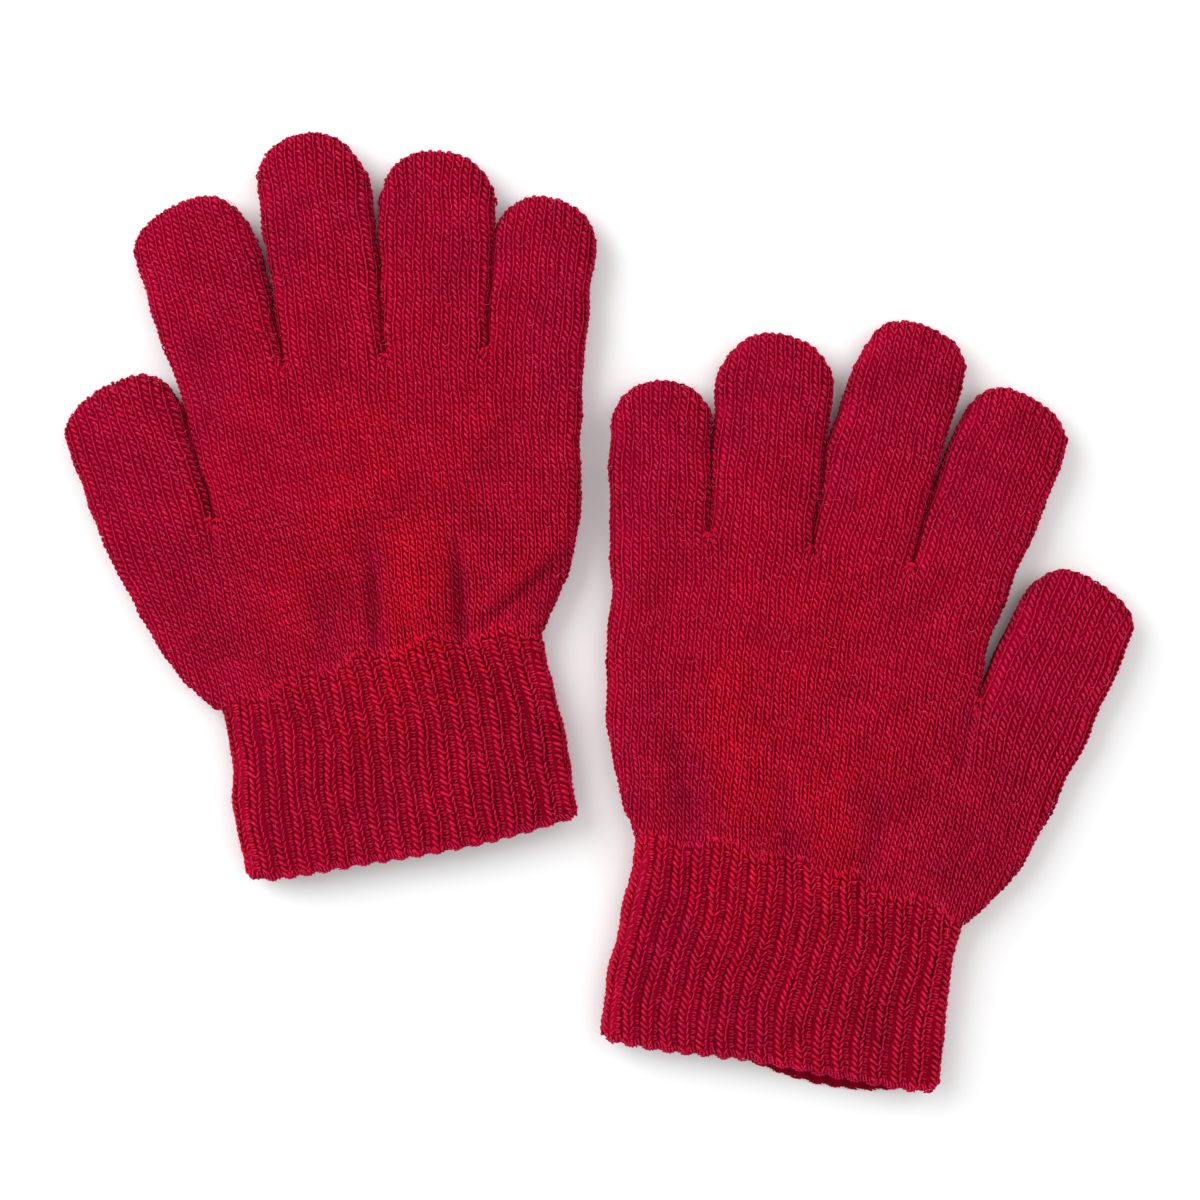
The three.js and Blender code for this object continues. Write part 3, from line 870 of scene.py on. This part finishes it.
def patch(top, bottom, left, right, columns, rows):
    """A grid of places inside four border lines. columns is their shares from left to right, or
    a count of columns that come closer together near the two sides."""
    s = crowded(columns) if isinstance(columns, int) else columns
    t = np.linspace(0, 1, rows)

    def run(line, at):
        return at_lengths(line, at * length_along(line)[-1])

    upper, lower = run(top, s)[None], run(bottom, s)[None]
    sides = between(run(left, t), run(right, t), s)
    ends = upper * (1 - t)[:, None, None] + lower * t[:, None, None]
    upper_straight, lower_straight = (between(line[:, 0], line[:, -1], s) for line in (upper, lower))
    corners = (1 - t)[:, None, None] * upper_straight + t[:, None, None] * lower_straight
    return sides + ends - corners


TUCK = 1.6                 # how far a lining reaches under its neighbour
TUCK_DROP = 0.35           # and how much lower it lies there


def tucked(grid, sunk, drop):
    """Adds a first row that reaches under the neighbouring lining, a little lower."""
    first = grid[:1] + unit(grid[:1] - grid[1:2]) * TUCK
    grid = np.concatenate([first, grid])
    sunk = np.broadcast_to(sunk, (len(grid) - 1, grid.shape[1]))
    drop = np.broadcast_to(drop, (len(grid) - 1, grid.shape[1]))
    return grid, np.concatenate([sunk[:1] - TUCK_DROP, sunk]), np.concatenate([drop[:1], drop])


WALL_SHARE = 0.48          # the height of one wall's share of the map of coordinates


def lining(fabric, g, grid, edges, dots=(), closed_top=False, sunk=0.0, drop=0.0, tuck=False):
    """A hollow tube under the loops, over a grid of places whose first row is an open end."""
    if tuck:
        grid, sunk, drop = tucked(grid, sunk, drop)
    rows, columns = grid.shape[:2]
    far, inward = edge_distance(grid.reshape(-1, 2), edges, dots)
    far = np.clip(far, 0, None).reshape(rows, columns)
    far[:, 0] = far[:, -1] = 0
    inward = inward.reshape(rows, columns, 2)
    depth = cloth_depth(far)
    place = grid + inward * (depth - RIM_TAKE - far)[..., None]
    walls = []
    for inset in (LINING_INSET, LINING_INSET + LINING_WALL):
        upper = on_surface(place, inward, depth, 1, g.data, sunk - inset)
        under = on_surface(place, inward, depth, -1, g.data, sunk - inset)
        under[..., 1] -= drop
        walls.append(np.concatenate([upper, under[:, -2:0:-1]], axis=1))
    loop = walls[0].shape[1]
    size = rows * loop
    index = np.arange(size).reshape(rows, loop)
    after = np.roll(index, -1, axis=1)
    u = np.broadcast_to(np.arange(loop) / loop, (rows, loop))
    v = np.broadcast_to(np.arange(rows)[:, None] / rows, (rows, loop))
    corner = np.stack([u, v], -1)
    next_corner = corner + [1 / loop, 0]
    quads, uvs = [], []

    def band(corners, at, flip):
        quad = np.stack(corners, -1).reshape(-1, 4)
        uv = np.stack(at, -2).reshape(-1, 4, 2)
        quads.append(quad[:, ::-1] if flip else quad)
        uvs.append(uv[:, ::-1] if flip else uv)

    for wall, flip in ((0, False), (1, True)):
        at = (corner[:-1], next_corner[:-1], next_corner[1:], corner[1:])
        at = [c * [1, WALL_SHARE] + [0, 0.5 * wall] for c in at]
        band([a + wall * size for a in (index[:-1], after[:-1], after[1:], index[1:])], at, flip)
    for r in [0] if closed_top else [0, rows - 1]:
        rim = [after[r], index[r], index[r] + size, after[r] + size]
        low = corner[r] * [1, 0] + [0, 0.985 if r else 0.487]
        high = low + [0, 0.006]
        step = np.array([1 / loop, 0])
        band(rim, [low + step, low, high, high + step], r > 0)
    tris, uv = halves(np.concatenate(quads), np.concatenate(uvs))
    verts = [w.reshape(-1, 3) for w in walls]
    if closed_top:
        for wall in (0, 1):
            verts.append(walls[wall][-1].mean(0)[None])
            ring, beyond = index[-1] + wall * size, after[-1] + wall * size
            tip = np.full(loop, 2 * size + wall)
            fan = [ring, beyond, tip]
            at = corner[-1] * [1, WALL_SHARE] + [0, 0.5 * wall]
            top = at + [0.5 / loop, 0.006]
            fan_uv = [at, at + [1 / loop, 0], top]
            if wall:
                fan, fan_uv = fan[::-1], fan_uv[::-1]
            tris = np.concatenate([tris, np.stack(fan, -1)])
            uv = np.concatenate([uv, np.stack(fan_uv, -2)])
    verts = np.concatenate(verts)
    corners = verts[tris]
    volume = np.einsum("ij,ij->i", corners[:, 0], np.cross(corners[:, 1], corners[:, 2])).sum()
    if volume < 0:
        tris, uv = tris[:, ::-1], uv[:, ::-1]
    fabric.add(verts[None], tris, uv, 0, np.array([0.5]))


def finger_grid(edge, base, rows=26, columns=19):
    """Places inside a finger's edge, row by row from its base to its tip."""
    part = edge[side_of(edge, base) > -0.4]
    tip = int(np.argmax(side_of(part, base)))
    left, right = resampled(part[:tip + 1], rows), resampled(part[tip:][::-1], rows)
    return between(left, right, crowded(columns))[:-1]


def part_of(edge, upper, lower):
    """The stretch of an edge between two lines, from the upper one down to the lower one."""
    line = resampled(edge, int(length_along(edge)[-1] / 0.25))
    line = line[(side_of(line, upper) <= 0.15) & (side_of(line, lower) >= -0.15)]
    falls = side_of(line[:1], upper)[0] > side_of(line[-1:], upper)[0]
    return line if falls else line[::-1]


# ---- colours and yarn ---------------------------------------------------------------------


def linear(hex_colour, alpha=1.0):
    parts = [int(hex_colour[i:i + 2], 16) / 255 for i in (1, 3, 5)]
    return [c / 12.92 if c <= 0.04045 else ((c + 0.055) / 1.055) ** 2.4 for c in parts] + [alpha]


def plug(tree, socket, value):
    """Gives a socket a constant, or the output of another node."""
    if isinstance(value, (int, float, list)):
        socket.default_value = value
    else:
        tree.links.new(value, socket)


def node(tree, kind, links=None, **settings):
    """Adds a shader node, sets its properties and default inputs, and links its inputs."""
    made = tree.nodes.new(kind)
    for key, value in settings.items():
        if hasattr(made, key):
            setattr(made, key, value)
        else:
            made.inputs[key.replace("_", " ")].default_value = value
    for key, source in (links or {}).items():
        tree.links.new(source, made.inputs[key])
    return made


def material(name, **settings):
    """A new material, with its node tree and its shader, whose inputs are set."""
    made = bpy.data.materials.new(name)
    made.use_nodes = True
    shader = made.node_tree.nodes["Principled BSDF"]
    for key, value in settings.items():
        shader.inputs[key.replace("_", " ")].default_value = value
    return made, made.node_tree, shader


def clamped(tree, value):
    return node(tree, "ShaderNodeClamp", {"Value": value}).outputs[0]


def math_node(tree, operation, *values):
    made = tree.nodes.new("ShaderNodeMath")
    made.operation = operation
    for i, value in enumerate(values):
        plug(tree, made.inputs[i], value)
    return made.outputs[0]


def mix(tree, factor, a, b, blend_type="MIX"):
    made = tree.nodes.new("ShaderNodeMix")
    made.data_type = "RGBA"
    made.blend_type = blend_type
    for i, value in ((0, factor), (6, a), (7, b)):
        plug(tree, made.inputs[i], value)
    return made.outputs[2]


def noise(tree, size):
    """Soft noise in the object's own coordinates, with spots about size millimetres across."""
    coordinates = node(tree, "ShaderNodeTexCoord").outputs["Object"]
    links = {"Vector": coordinates}
    return node(tree, "ShaderNodeTexNoise", links, Scale=1 / (size * MM), Detail=3.0).outputs["Fac"]


# Painted highlight: the colour the yarn is given on the swells of the fabric, where they take the light.
PAINTED_SWELL_HIGHLIGHT = "#D4001C"
SWELL_HIGHLIGHT_SHARE = 0.8        # how much of that painted highlight the highest swells take
PAINTED_FOLD_SHADE = -0.6          # how soon a tone below 0, deep in a fold, turns into the painted shade colour
PAINTED_FLANK_SHADE = 0.7           # how much of the painted shade colour the flanks of a leg take, where they turn away from above
CREST_HIGHLIGHT_SHARE = 0.9          # how much of the painted highlight colour the crests take
CREST_EDGE = 14.0          # how narrow the painted highlight along a leg's crest is
FIBRE_SPOT, PATCH_SPOT = 0.6, 9.0      # the sizes of the finest and the broadest unevenness


def yarn(name, warm, cool, painted_shade, light, twists=2.0, sheen=0.008):
    """Soft two-ply yarn. Its strands run round each leg, with painted highlight on their crests and
    painted shade on their flanks and in deep folds; light is the highlight's colour.
    """
    made, tree, shader = material(name, Roughness=0.85, Specular_IOR_Level=0.04, Sheen_Weight=sheen,
                                  Sheen_Roughness=0.45, Sheen_Tint=linear("#F08090"))

    def times(a, b):
        return math_node(tree, "MULTIPLY", a, b)

    def scaled(a, factor, added):
        return math_node(tree, "MULTIPLY_ADD", a, factor, added)

    uv = node(tree, "ShaderNodeUVMap", uv_map="Yarn").outputs["UV"]
    split = node(tree, "ShaderNodeSeparateXYZ", {"Vector": uv})
    tone = node(tree, "ShaderNodeAttribute", attribute_name="ToneAndFoldShading").outputs["Fac"]
    around = times(split.outputs[0], 2 * math.pi)
    facing = scaled(math_node(tree, "COSINE", around), 0.5, 0.5)
    crest = math_node(tree, "POWER", facing, CREST_EDGE)
    turn = scaled(split.outputs[1], twists * 2 * math.pi, times(around, 2.0))
    ply = scaled(math_node(tree, "SINE", turn), 0.5, 0.5)
    fibres, patches = noise(tree, FIBRE_SPOT), noise(tree, PATCH_SPOT)
    base = mix(tree, clamped(tree, tone), linear(cool), linear(warm))
    # Painted highlight on the swells, where the tone is above 1.
    swell_highlight = clamped(tree, math_node(tree, "SUBTRACT", tone, 1.0))
    base = mix(tree, times(swell_highlight, SWELL_HIGHLIGHT_SHARE), base, linear(PAINTED_SWELL_HIGHLIGHT))
    # Painted shade deep in the folds, where the tone is below 0.
    base = mix(tree, clamped(tree, times(tone, PAINTED_FOLD_SHADE)), base, linear(painted_shade))
    # Painted shade on the flanks of each leg, which face away from above.
    base = mix(tree, scaled(facing, -PAINTED_FLANK_SHADE, PAINTED_FLANK_SHADE), base, linear(painted_shade))
    # Painted highlight along the top of each leg, broken up by the ply and the fibres.
    shine = times(times(crest, scaled(ply, 0.5, 0.5)), scaled(fibres, 2.4, -0.75))
    colour = mix(tree, times(clamped(tree, shine), CREST_HIGHLIGHT_SHARE), base, linear(light))
    shade = scaled(patches, 0.6, 0.70)
    grey = node(tree, "ShaderNodeCombineColor", {"Red": shade, "Green": shade, "Blue": shade}).outputs[0]
    tree.links.new(mix(tree, 1.0, colour, grey, "MULTIPLY"), shader.inputs["Base Color"])
    relief = math_node(tree, "ADD", ply, times(fibres, 0.6))
    bump = node(tree, "ShaderNodeBump", {"Height": relief}, Strength=0.5, Distance=0.12 * MM)
    tree.links.new(bump.outputs[0], shader.inputs["Normal"])
    return made


# Acrylic knitting yarn, crimson, a little bluer towards the thumb and the outer fingers, with the painted
# shade and highlight that yarn() gives.
KNIT = yarn("crimson_acrylic_yarn", "#B0001C", "#A2002E", "#84000F", "#E23060")
# The inner side of the same yarn, seen only between the loops, where little light gets: its colours are a
# darker copy of the yarn's, painted shade.
SHADED_INNER_YARN = yarn("crimson_yarn_inner_side_painted_shade", "#86001A", "#800024", "#6C0012", "#960A2C", sheen=0.0)
# The overlocking thread of the cuff's edge, a finer yarn of the same dye lot.
BINDING = yarn("crimson_overlock_yarn", "#B60022", "#A80032", "#880012", "#DE365E", twists=3.0)
# Covered elastic thread laid inside the cuff.
ELASTIC = yarn("red_covered_elastic", "#A00020", "#A00020", "#700010", "#C83050", twists=30.0, sheen=0.1)


def fibre_material():
    """Loose ends of the yarn, so thin that they look pale against the light."""
    made, tree, shader = material("loose_acrylic_fibre", Roughness=0.6, Specular_IOR_Level=0.1)
    colour = mix(tree, noise(tree, 2.0), linear("#D8205A"), linear("#F080A0"))
    tree.links.new(colour, shader.inputs["Base Color"])
    return made


FIBRE = fibre_material()

# ---- building the gloves ------------------------------------------------------------------

STITCHES = ((FULL_BEAD, SLANTED_LEG), (SLIM_BEAD, UPRIGHT_LEG))
RIB_STITCHES = ((FULL_BEAD, RIB_LEFT_LEG), (SLIM_BEAD, RIB_RIGHT_LEG))
PURL_STITCHES = ((SLIM_BEAD, PURL_BAR), (SLIM_BEAD, PURL_TAIL))


def knit(fabric, rows, face, glove, stitches=STITCHES):
    for bead, shape in stitches:
        leg(fabric, bead, shape, rows, face, glove)
    fuzz(fabric, rows, face, glove)


def finish_pair(fabric, under, name, ride_on, nodes, stuff=None):
    """The knitted face and its lining as two pieces, each handed to ride_on."""
    for cloth, label, stuffs in ((fabric, "knit", [stuff or KNIT, FIBRE]), (under, "lining", [SHADED_INNER_YARN])):
        if cloth is None:
            continue
        piece = cloth.build(f"{name}_{label}", stuffs)
        ride_on(piece)
    if nodes:
        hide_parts(*nodes)


def bend_from(a, b):
    return lambda piece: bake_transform(piece)


def digit_lines(digit, base):
    """The edge of a finger or thumb, and its base line, middle and way up."""
    base = (np.array(base[0], float), np.array(base[1], float))
    edge = finger_edge(digit, base)
    across = unit(base[1] - base[0])
    middle = (base[0] + base[1]) / 2
    up = unit((np.array(digit[1][1]) + np.array(digit[3][0])) / 2 - middle)
    return edge, base, across, middle, up


NUB_LOOPS = 5
NUB_RISE = 2.2             # how far above the shoulder of a fingertip its ears are
NUB_YARN, KNOT_YARN, EDGE_YARN, CHAIN_YARN = 0.34, 0.36, 0.36, 0.33


def any_ways(count):
    """Directions in the plane, at random."""
    angle = rng.uniform(0, math.pi, count)
    return np.stack([np.cos(angle), np.sin(angle)], -1)


def add_nubs(cloth, g, digit, edge, up):
    """The small ears where the closing thread of a fingertip is drawn through at both sides."""
    for shoulder in (digit[1][1], digit[3][0]):
        near = edge[np.argmin(np.linalg.norm(edge - np.array(shoulder), axis=1))]
        place = near + up * NUB_RISE + rng.normal(0, 0.35, (NUB_LOOPS, 2))
        far, inward = edge_distance(place, [edge])
        place = place - inward * (far - rng.uniform(-0.5, 0.2, NUB_LOOPS))[:, None]
        ways = any_ways(NUB_LOOPS)
        width, depth = np.full(NUB_LOOPS, 1.3), np.full(NUB_LOOPS, 0.5)
        rows = [place, ways, width, inward, depth, rng.uniform(0.1, 0.5, NUB_LOOPS), np.zeros(NUB_LOOPS)]
        leg(cloth, FULL_BEAD, NUB, rows, 1, g.data, NUB_YARN)


SPARE_WALES = 4            # columns beyond each side of a digit's base, for where it is wider


def digit_piece(g, digit, base, pitch, origin, hand_phases):
    """A finger or thumb: its loops continue the wales of the hand at its base."""
    name = g.body(digit[0])
    edge, base, across, middle, up = digit_lines(digit, base)
    first = math.ceil(((base[0] - origin) @ across) / pitch - 0.5) - SPARE_WALES
    last = math.floor(((base[1] - origin) @ across) / pitch - 0.5) + SPARE_WALES
    k = np.arange(first, last + 1)
    wales = origin + across * pitch * (k[:, None] + 0.5)
    own = k * (up @ across) * pitch
    within = np.clip(k, 0, len(hand_phases) - 1)
    phases = hand_phases[within] + (k - within) * (up @ across) * pitch
    cloth, under = Fabric(), Fabric()
    for face in (1, -1):
        knit(cloth, finger_loops(g, digit, base, wales, phases, own, [edge]), face, g.data)
    add_nubs(cloth, g, digit, edge, up)
    grid = finger_grid(edge, base)
    lining(under, g, grid, [edge], closed_top=True, tuck=True)
    ride_on = bend_from(g.body("palm"), name)
    finish_pair(cloth, under, name, ride_on, [name])


def wale_pitch(base, count):
    """The width of one wale, where count of them fill a line and the two rounded edges."""
    return (np.linalg.norm(base[1] - base[0]) + 2 * RIM_TAKE) / count


def make_digits(g, hand_phases, thumb_phases):
    """The four fingers and the thumb."""
    origin = g.knuckles[0] - g.across * RIM_TAKE
    pitch = wale_pitch(g.knuckles, HAND_WALES)
    for digit, base in zip(g.data["fingers"], g.bases):
        digit_piece(g, digit, base, pitch, origin, hand_phases)
    origin = g.thumb_base[0] - unit(g.thumb_base[1] - g.thumb_base[0]) * RIM_TAKE
    pitch = wale_pitch(g.thumb_base, THUMB_WALES)
    digit_piece(g, g.data["thumb"], g.thumb_base, pitch, origin, thumb_phases)


UPPER_GRID = 49, 24        # columns and rows of the linings of the hand
LOWER_GRID = 121, 60
OVERLAP = 1.0              # how far the hand's loops go on over the tops of the ribs


def make_upper_palm(g, on_palm, hand, phases):
    """The part of the hand between the knuckles and the fork of the thumb."""
    cloth, under = Fabric(), Fabric()

    def above_seam(p):
        return (side_of(p, g.knuckles) < 0) & (side_of(p, g.seam) >= 0)

    for face in (1, -1):
        knit(cloth, hand_loops(g, hand, phases, g.palm_edges, g.forks, above_seam), face, g.data)
    little = part_of(g.little_edge, g.knuckles, g.seam)
    index = part_of(g.hand_edge, g.knuckles, g.seam)
    left, right = (index, little) if g.thumb_left else (little, index)
    top, bottom = np.stack([left[0], right[0]]), np.stack([left[-1], right[-1]])
    grid = patch(top, bottom, left, right, *UPPER_GRID)
    lining(under, g, grid, g.palm_edges, g.forks)
    name = g.body("upper_palm")
    finish_pair(cloth, under, name, on_palm, [name])


def make_lower_palm(g, on_palm, hand, hand_phases, thumb, thumb_phases):
    """The part of the hand between the fork of the thumb and the wrist, with the thumb's wales."""
    cloth, under = Fabric(), Fabric()
    dots = [g.thumb_fork]

    def over_ribs(p):
        return side_of(p, g.wrist) >= rib_top(rib_share(g, p)) - OVERLAP

    def below_seam(p):
        return (side_of(p, g.seam) < 0) & over_ribs(p)

    def below_thumb(p):
        return (side_of(p, g.thumb_base) < 0) & over_ribs(p)

    for face in (1, -1):
        knit(cloth, hand_loops(g, hand, hand_phases, g.heel_edges, dots, below_seam), face, g.data)
        knit(cloth, hand_loops(g, thumb, thumb_phases, g.heel_edges, dots, below_thumb), face, g.data)
    little = part_of(g.little_edge, g.seam, g.wrist)
    heel = part_of(g.heel_edge, g.thumb_base, g.wrist)
    left, right = (heel, little) if g.thumb_left else (little, heel)
    top, bottom = np.stack([left[0], g.thumb_fork, right[0]]), np.stack([left[-1], right[-1]])
    grid = patch(top, bottom, left, right, *LOWER_GRID)
    sunk = rib_start(g, grid.reshape(-1, 2), g.heel_edges).reshape(grid.shape[:2]) - 0.1
    lining(under, g, grid, g.heel_edges, dots, sunk=sunk)
    name = g.body("lower_palm")
    finish_pair(cloth, under, name, on_palm, [name])


SIDE_WIDTH = 2.4           # the width of the rib loops that cover the cuff's folded sides
SIDE_DEPTH = 2.2           # how near those sides they are, along the cloth
LINING_COLUMNS = 8         # columns of the cuff's lining for every rib


def make_cuff(g):
    """The ribbed cuff and its lining."""
    cloth, under = Fabric(), Fabric()
    for face in (1, -1):
        cuff_knit(cloth, g, cuff_loops(g, 0.0, face, RIB_WIDTH), face, RIB_STITCHES)
        trough = cuff_loops(g, 0.5, face, TROUGH_WIDTH, lift=0.12)
        cuff_knit(cloth, g, trough, face, PURL_STITCHES)
        edge = cuff_loops(g, 0.5, face, SIDE_WIDTH)
        at_side = edge[4] < SIDE_DEPTH
        knit(cloth, [a[at_side] for a in edge], face, g.data, RIB_STITCHES)
    along = unit(g.wrist[1] - g.wrist[0])
    across = np.linspace(0, 1, RIBS * LINING_COLUMNS + 1)
    run = np.linspace(0, 1, STEPS)[:, None]
    grid = patch(np.stack(g.wrist), g.hem, g.cuff_left, g.cuff_right, across, STEPS)
    grid = grid + along * rib_sway(g, across[None] * RIBS, run)[..., None]
    flat = grid.reshape(-1, 2)
    far, _ = edge_distance(flat, g.cuff_edges)
    above = side_of(grid, g.wrist)
    sunk = rib_profile(g, across[None] * RIBS, above, face_share(far).reshape(above.shape))
    drop = back_drop(g, flat).reshape(above.shape) * run ** 4
    lining(under, g, grid, g.cuff_edges, sunk=sunk, drop=drop, tuck=True)
    on_cuff = bend_from(g.body("palm"), g.body("cuff"))
    name = g.body("rib_cuff")
    finish_pair(cloth, under, name, on_cuff, [name])


EDGE_SPACING = 0.72
SCALLOP = 0.30
EDGE_RISE = 0.95           # how far above the edge its slanted loops stand
EDGE_WAVE = 0.30
CHAIN_DROP = 0.62          # how far below those loops the chain runs


def make_binding(g, on_cuff):
    """The overlocked edge: slanted loops over the cuff's edge and a chain along it, scalloped
    where the ribs end."""
    cloth = Fabric()
    total = length_along(g.hem)[-1]
    runs = np.arange(0.2 - RIM_TAKE, total + RIM_TAKE, EDGE_SPACING)
    inside = np.clip(runs, 0, total)
    hem = at_lengths(g.hem, inside)
    ahead, behind = np.minimum(inside + 1, total), np.maximum(inside - 1, 0)
    way = unit(at_lengths(g.hem, ahead) - at_lengths(g.hem, behind))
    hem = hem + way * (runs - inside)[:, None]
    up = -turned(way)
    rib = runs / total * RIBS
    scallop = SCALLOP * np.cos((rib - 0.5) * 2 * math.pi)
    high = 0.1 + EDGE_WAVE * np.cos((rib - 0.5) * 2 * math.pi)
    for face in (1, -1):
        drop = back_drop(g, hem) if face < 0 else 0.0
        place = hem + up * (EDGE_RISE - scallop)[:, None]
        place = place - np.array([0, 1]) * np.reshape(drop, (-1, 1))
        rows = loops(g, place, up, np.full(len(place), 1.1), g.cuff_edges, height=high)
        leg(cloth, FULL_BEAD, EDGE_LOOP, rows, face, g.data, EDGE_YARN)
        chain = place - up * CHAIN_DROP
        low = loops(g, chain, up, np.full(len(place), 1.2), g.cuff_edges, height=high - 0.30)
        leg(cloth, FULL_BEAD, EDGE_CHAIN, low, face, g.data, CHAIN_YARN)
    name = g.body("cuff_edge_binding")
    finish_pair(cloth, None, name, on_cuff, [name], BINDING)


ELASTIC_RADIUS = 0.3
ELASTIC_SPAN = (0.40, 0.72)    # where it starts and ends, as shares of the way down the cuff
ELASTIC_TURNS = 3
ELASTIC_STEPS = 160        # points in every turn


def tube(path, radius, sides=6):
    """A round cord along a path, with flat ends, as verts, faces and uv."""
    ahead = unit(np.gradient(path, axis=0))
    side = unit(np.cross(ahead, [0, 0, 1.0]))
    above = np.cross(side, ahead)
    around = np.linspace(0, 2 * math.pi, sides, endpoint=False)[None, :, None]
    ring = side[:, None] * np.cos(around) + above[:, None] * np.sin(around)
    verts = (path[:, None] + ring * radius).reshape(-1, 3)
    count = len(path)
    index = np.arange(count * sides).reshape(count, sides)
    after = np.roll(index, -1, axis=1)
    quads = np.stack([index[:-1], after[:-1], after[1:], index[1:]], -1).reshape(-1, 4)
    u = np.broadcast_to(np.arange(sides) / sides, (count, sides))
    v = np.broadcast_to(np.linspace(0, 1, count)[:, None], (count, sides))
    at = np.stack([u, v], -1)
    beside = at + [1 / sides, 0]
    uvs = np.stack([at[:-1], beside[:-1], beside[1:], at[1:]], -2).reshape(-1, 4, 2)
    tris, uv = halves(quads, uvs)
    first = [0] * (sides - 2)
    for end, flip in ((0, True), (count - 1, False)):
        fan = np.stack([index[end][first], index[end][1:-1], index[end][2:]], -1)
        fan_uv = np.stack([at[end][first], at[end][1:-1], at[end][2:]], -2)
        fan_uv = fan_uv + np.array([[0, 0], [0, 0], [0, 0.004]])
        tris = np.concatenate([tris, fan[:, ::-1] if flip else fan])
        uv = np.concatenate([uv, fan_uv[:, ::-1] if flip else fan_uv])
    return verts, tris[:, ::-1], uv[:, ::-1]


def make_elastic(g, on_cuff):
    """The elastic thread, wound round the inside of the cuff."""
    steps = ELASTIC_STEPS * ELASTIC_TURNS
    turn = np.linspace(0, ELASTIC_TURNS, steps)
    share = np.linspace(*ELASTIC_SPAN, steps)
    swing = turn % 1.0
    upper = swing < 0.5
    across = np.where(upper, swing * 2, 2 - swing * 2)
    left, right = through(g.cuff_left, share), through(g.cuff_right, share)
    place = left + (right - left) * across[:, None]
    far, inward = edge_distance(place, g.cuff_edges)
    far = np.clip(far, 0, None)
    depth = cloth_depth(far)
    place = place + inward * (depth - RIM_TAKE - far)[:, None]
    lift = np.full(steps, -(LINING_INSET + LINING_WALL + TROUGH_DEPTH + 0.1 + ELASTIC_RADIUS))
    above = on_surface(place, inward, depth, 1, g.data, lift)
    under = on_surface(place, inward, depth, -1, g.data, lift)
    verts, faces, uv = tube(np.where(upper[:, None], above, under), ELASTIC_RADIUS)
    cloth = Fabric()
    cloth.add(verts[None], faces, uv, 0, np.array([0.5]))
    name = g.body("cuff_elastic_thread")
    finish_pair(cloth, None, name, on_cuff, [name], ELASTIC)


KNOT_LOOPS = 12
KNOT_SPREAD = 0.75
KNOT_DROP = 0.9            # how far below the fork the knot lies


def make_fork_knots(g, on_palm):
    """The gathered yarn ends at the foot of every gap between two fingers."""
    cloth = Fabric()
    for fork in [*g.forks, g.thumb_fork]:
        place = np.array(fork) + rng.normal(0, KNOT_SPREAD, (KNOT_LOOPS, 2)) - g.up * KNOT_DROP
        ways, inward = any_ways(KNOT_LOOPS), np.repeat(-g.up[None], KNOT_LOOPS, 0)
        width, far, tone = (np.full(KNOT_LOOPS, value) for value in (1.5, 1.9, 0.6))
        rows = [place, ways, width, inward, far, rng.uniform(0.2, 1.1, KNOT_LOOPS), tone]
        for face in (1, -1):
            leg(cloth, FULL_BEAD, KNOT, rows, face, g.data, KNOT_YARN)
    finish_pair(cloth, None, g.body("fork_knots"), on_palm, [])


def make_glove(data):
    g = Glove(data)
    hand, thumb = hand_wales(g), thumb_wales(g)
    hand_phases, thumb_phases = first_row_phases(hand), first_row_phases(thumb)

    def on_palm(piece):
        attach(piece, g.body("palm"))

    def on_cuff(piece):
        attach(piece, g.body("cuff"))

    make_digits(g, hand_phases, thumb_phases)
    make_upper_palm(g, on_palm, hand, hand_phases)
    make_lower_palm(g, on_palm, hand, hand_phases, thumb, thumb_phases)
    make_cuff(g)
    make_binding(g, on_cuff)
    make_elastic(g, on_cuff)
    make_fork_knots(g, on_palm)


make_glove(LEFT)
make_glove(RIGHT)

# ---- table, lights and camera -------------------------------------------------------------

TABLE_SIZE = 6             # lengths are in metres from here on
TABLE_TOP = -0.0002        # just under the gloves
KEY_WATTS, FILL_WATTS = 18, 7
SKY_STRENGTH = 0.66
CAMERA_HEIGHT = 0.4315     # above the middle of the fabric
CAMERA_ASIDE = 0.0001, 0.0025

bpy.ops.mesh.primitive_plane_add(size=TABLE_SIZE, location=(0, 0, TABLE_TOP))
table = bpy.context.object
table.name = "table_top"
# Matt white paper.
paper, _, _ = material("white_paper", Base_Color=linear("#EEEFEF"), Roughness=0.9)
table.data.materials.append(paper)


def softbox(name, place, aim, size, watts):
    """A large square light at place, in metres, turned towards aim."""
    light = bpy.data.lights.new(name, "AREA")
    light.shape = "SQUARE"
    light.size = size
    light.energy = watts
    made = bpy.data.objects.new(name, light)
    bpy.context.scene.collection.objects.link(made)
    made.location = place
    way = made.location - type(made.location)(aim)
    made.rotation_euler = way.to_track_quat("Z", "Y").to_euler()


softbox("key", (-0.95, 0.55, 0.85), (0, 0, 0), 1.1, KEY_WATTS)
softbox("fill", (0.8, 0.3, 1.1), (0, 0, 0), 1.2, FILL_WATTS)

scene = bpy.context.scene
sky = bpy.data.worlds.new("studio")
sky.use_nodes = True
sky.node_tree.nodes["Background"].inputs["Color"].default_value = linear("#FFFFFF")
sky.node_tree.nodes["Background"].inputs["Strength"].default_value = SKY_STRENGTH
scene.world = sky
scene.view_settings.view_transform = "Standard"

lens = bpy.data.cameras.new("camera")
lens.lens = 60
lens.sensor_width = 36
lens.clip_start = 0.01
lens.dof.use_dof = False
camera = bpy.data.objects.new("camera", lens)
scene.collection.objects.link(camera)
camera.location = (*CAMERA_ASIDE, CAMERA_HEIGHT + MID_HEIGHT * MM)
scene.camera = camera
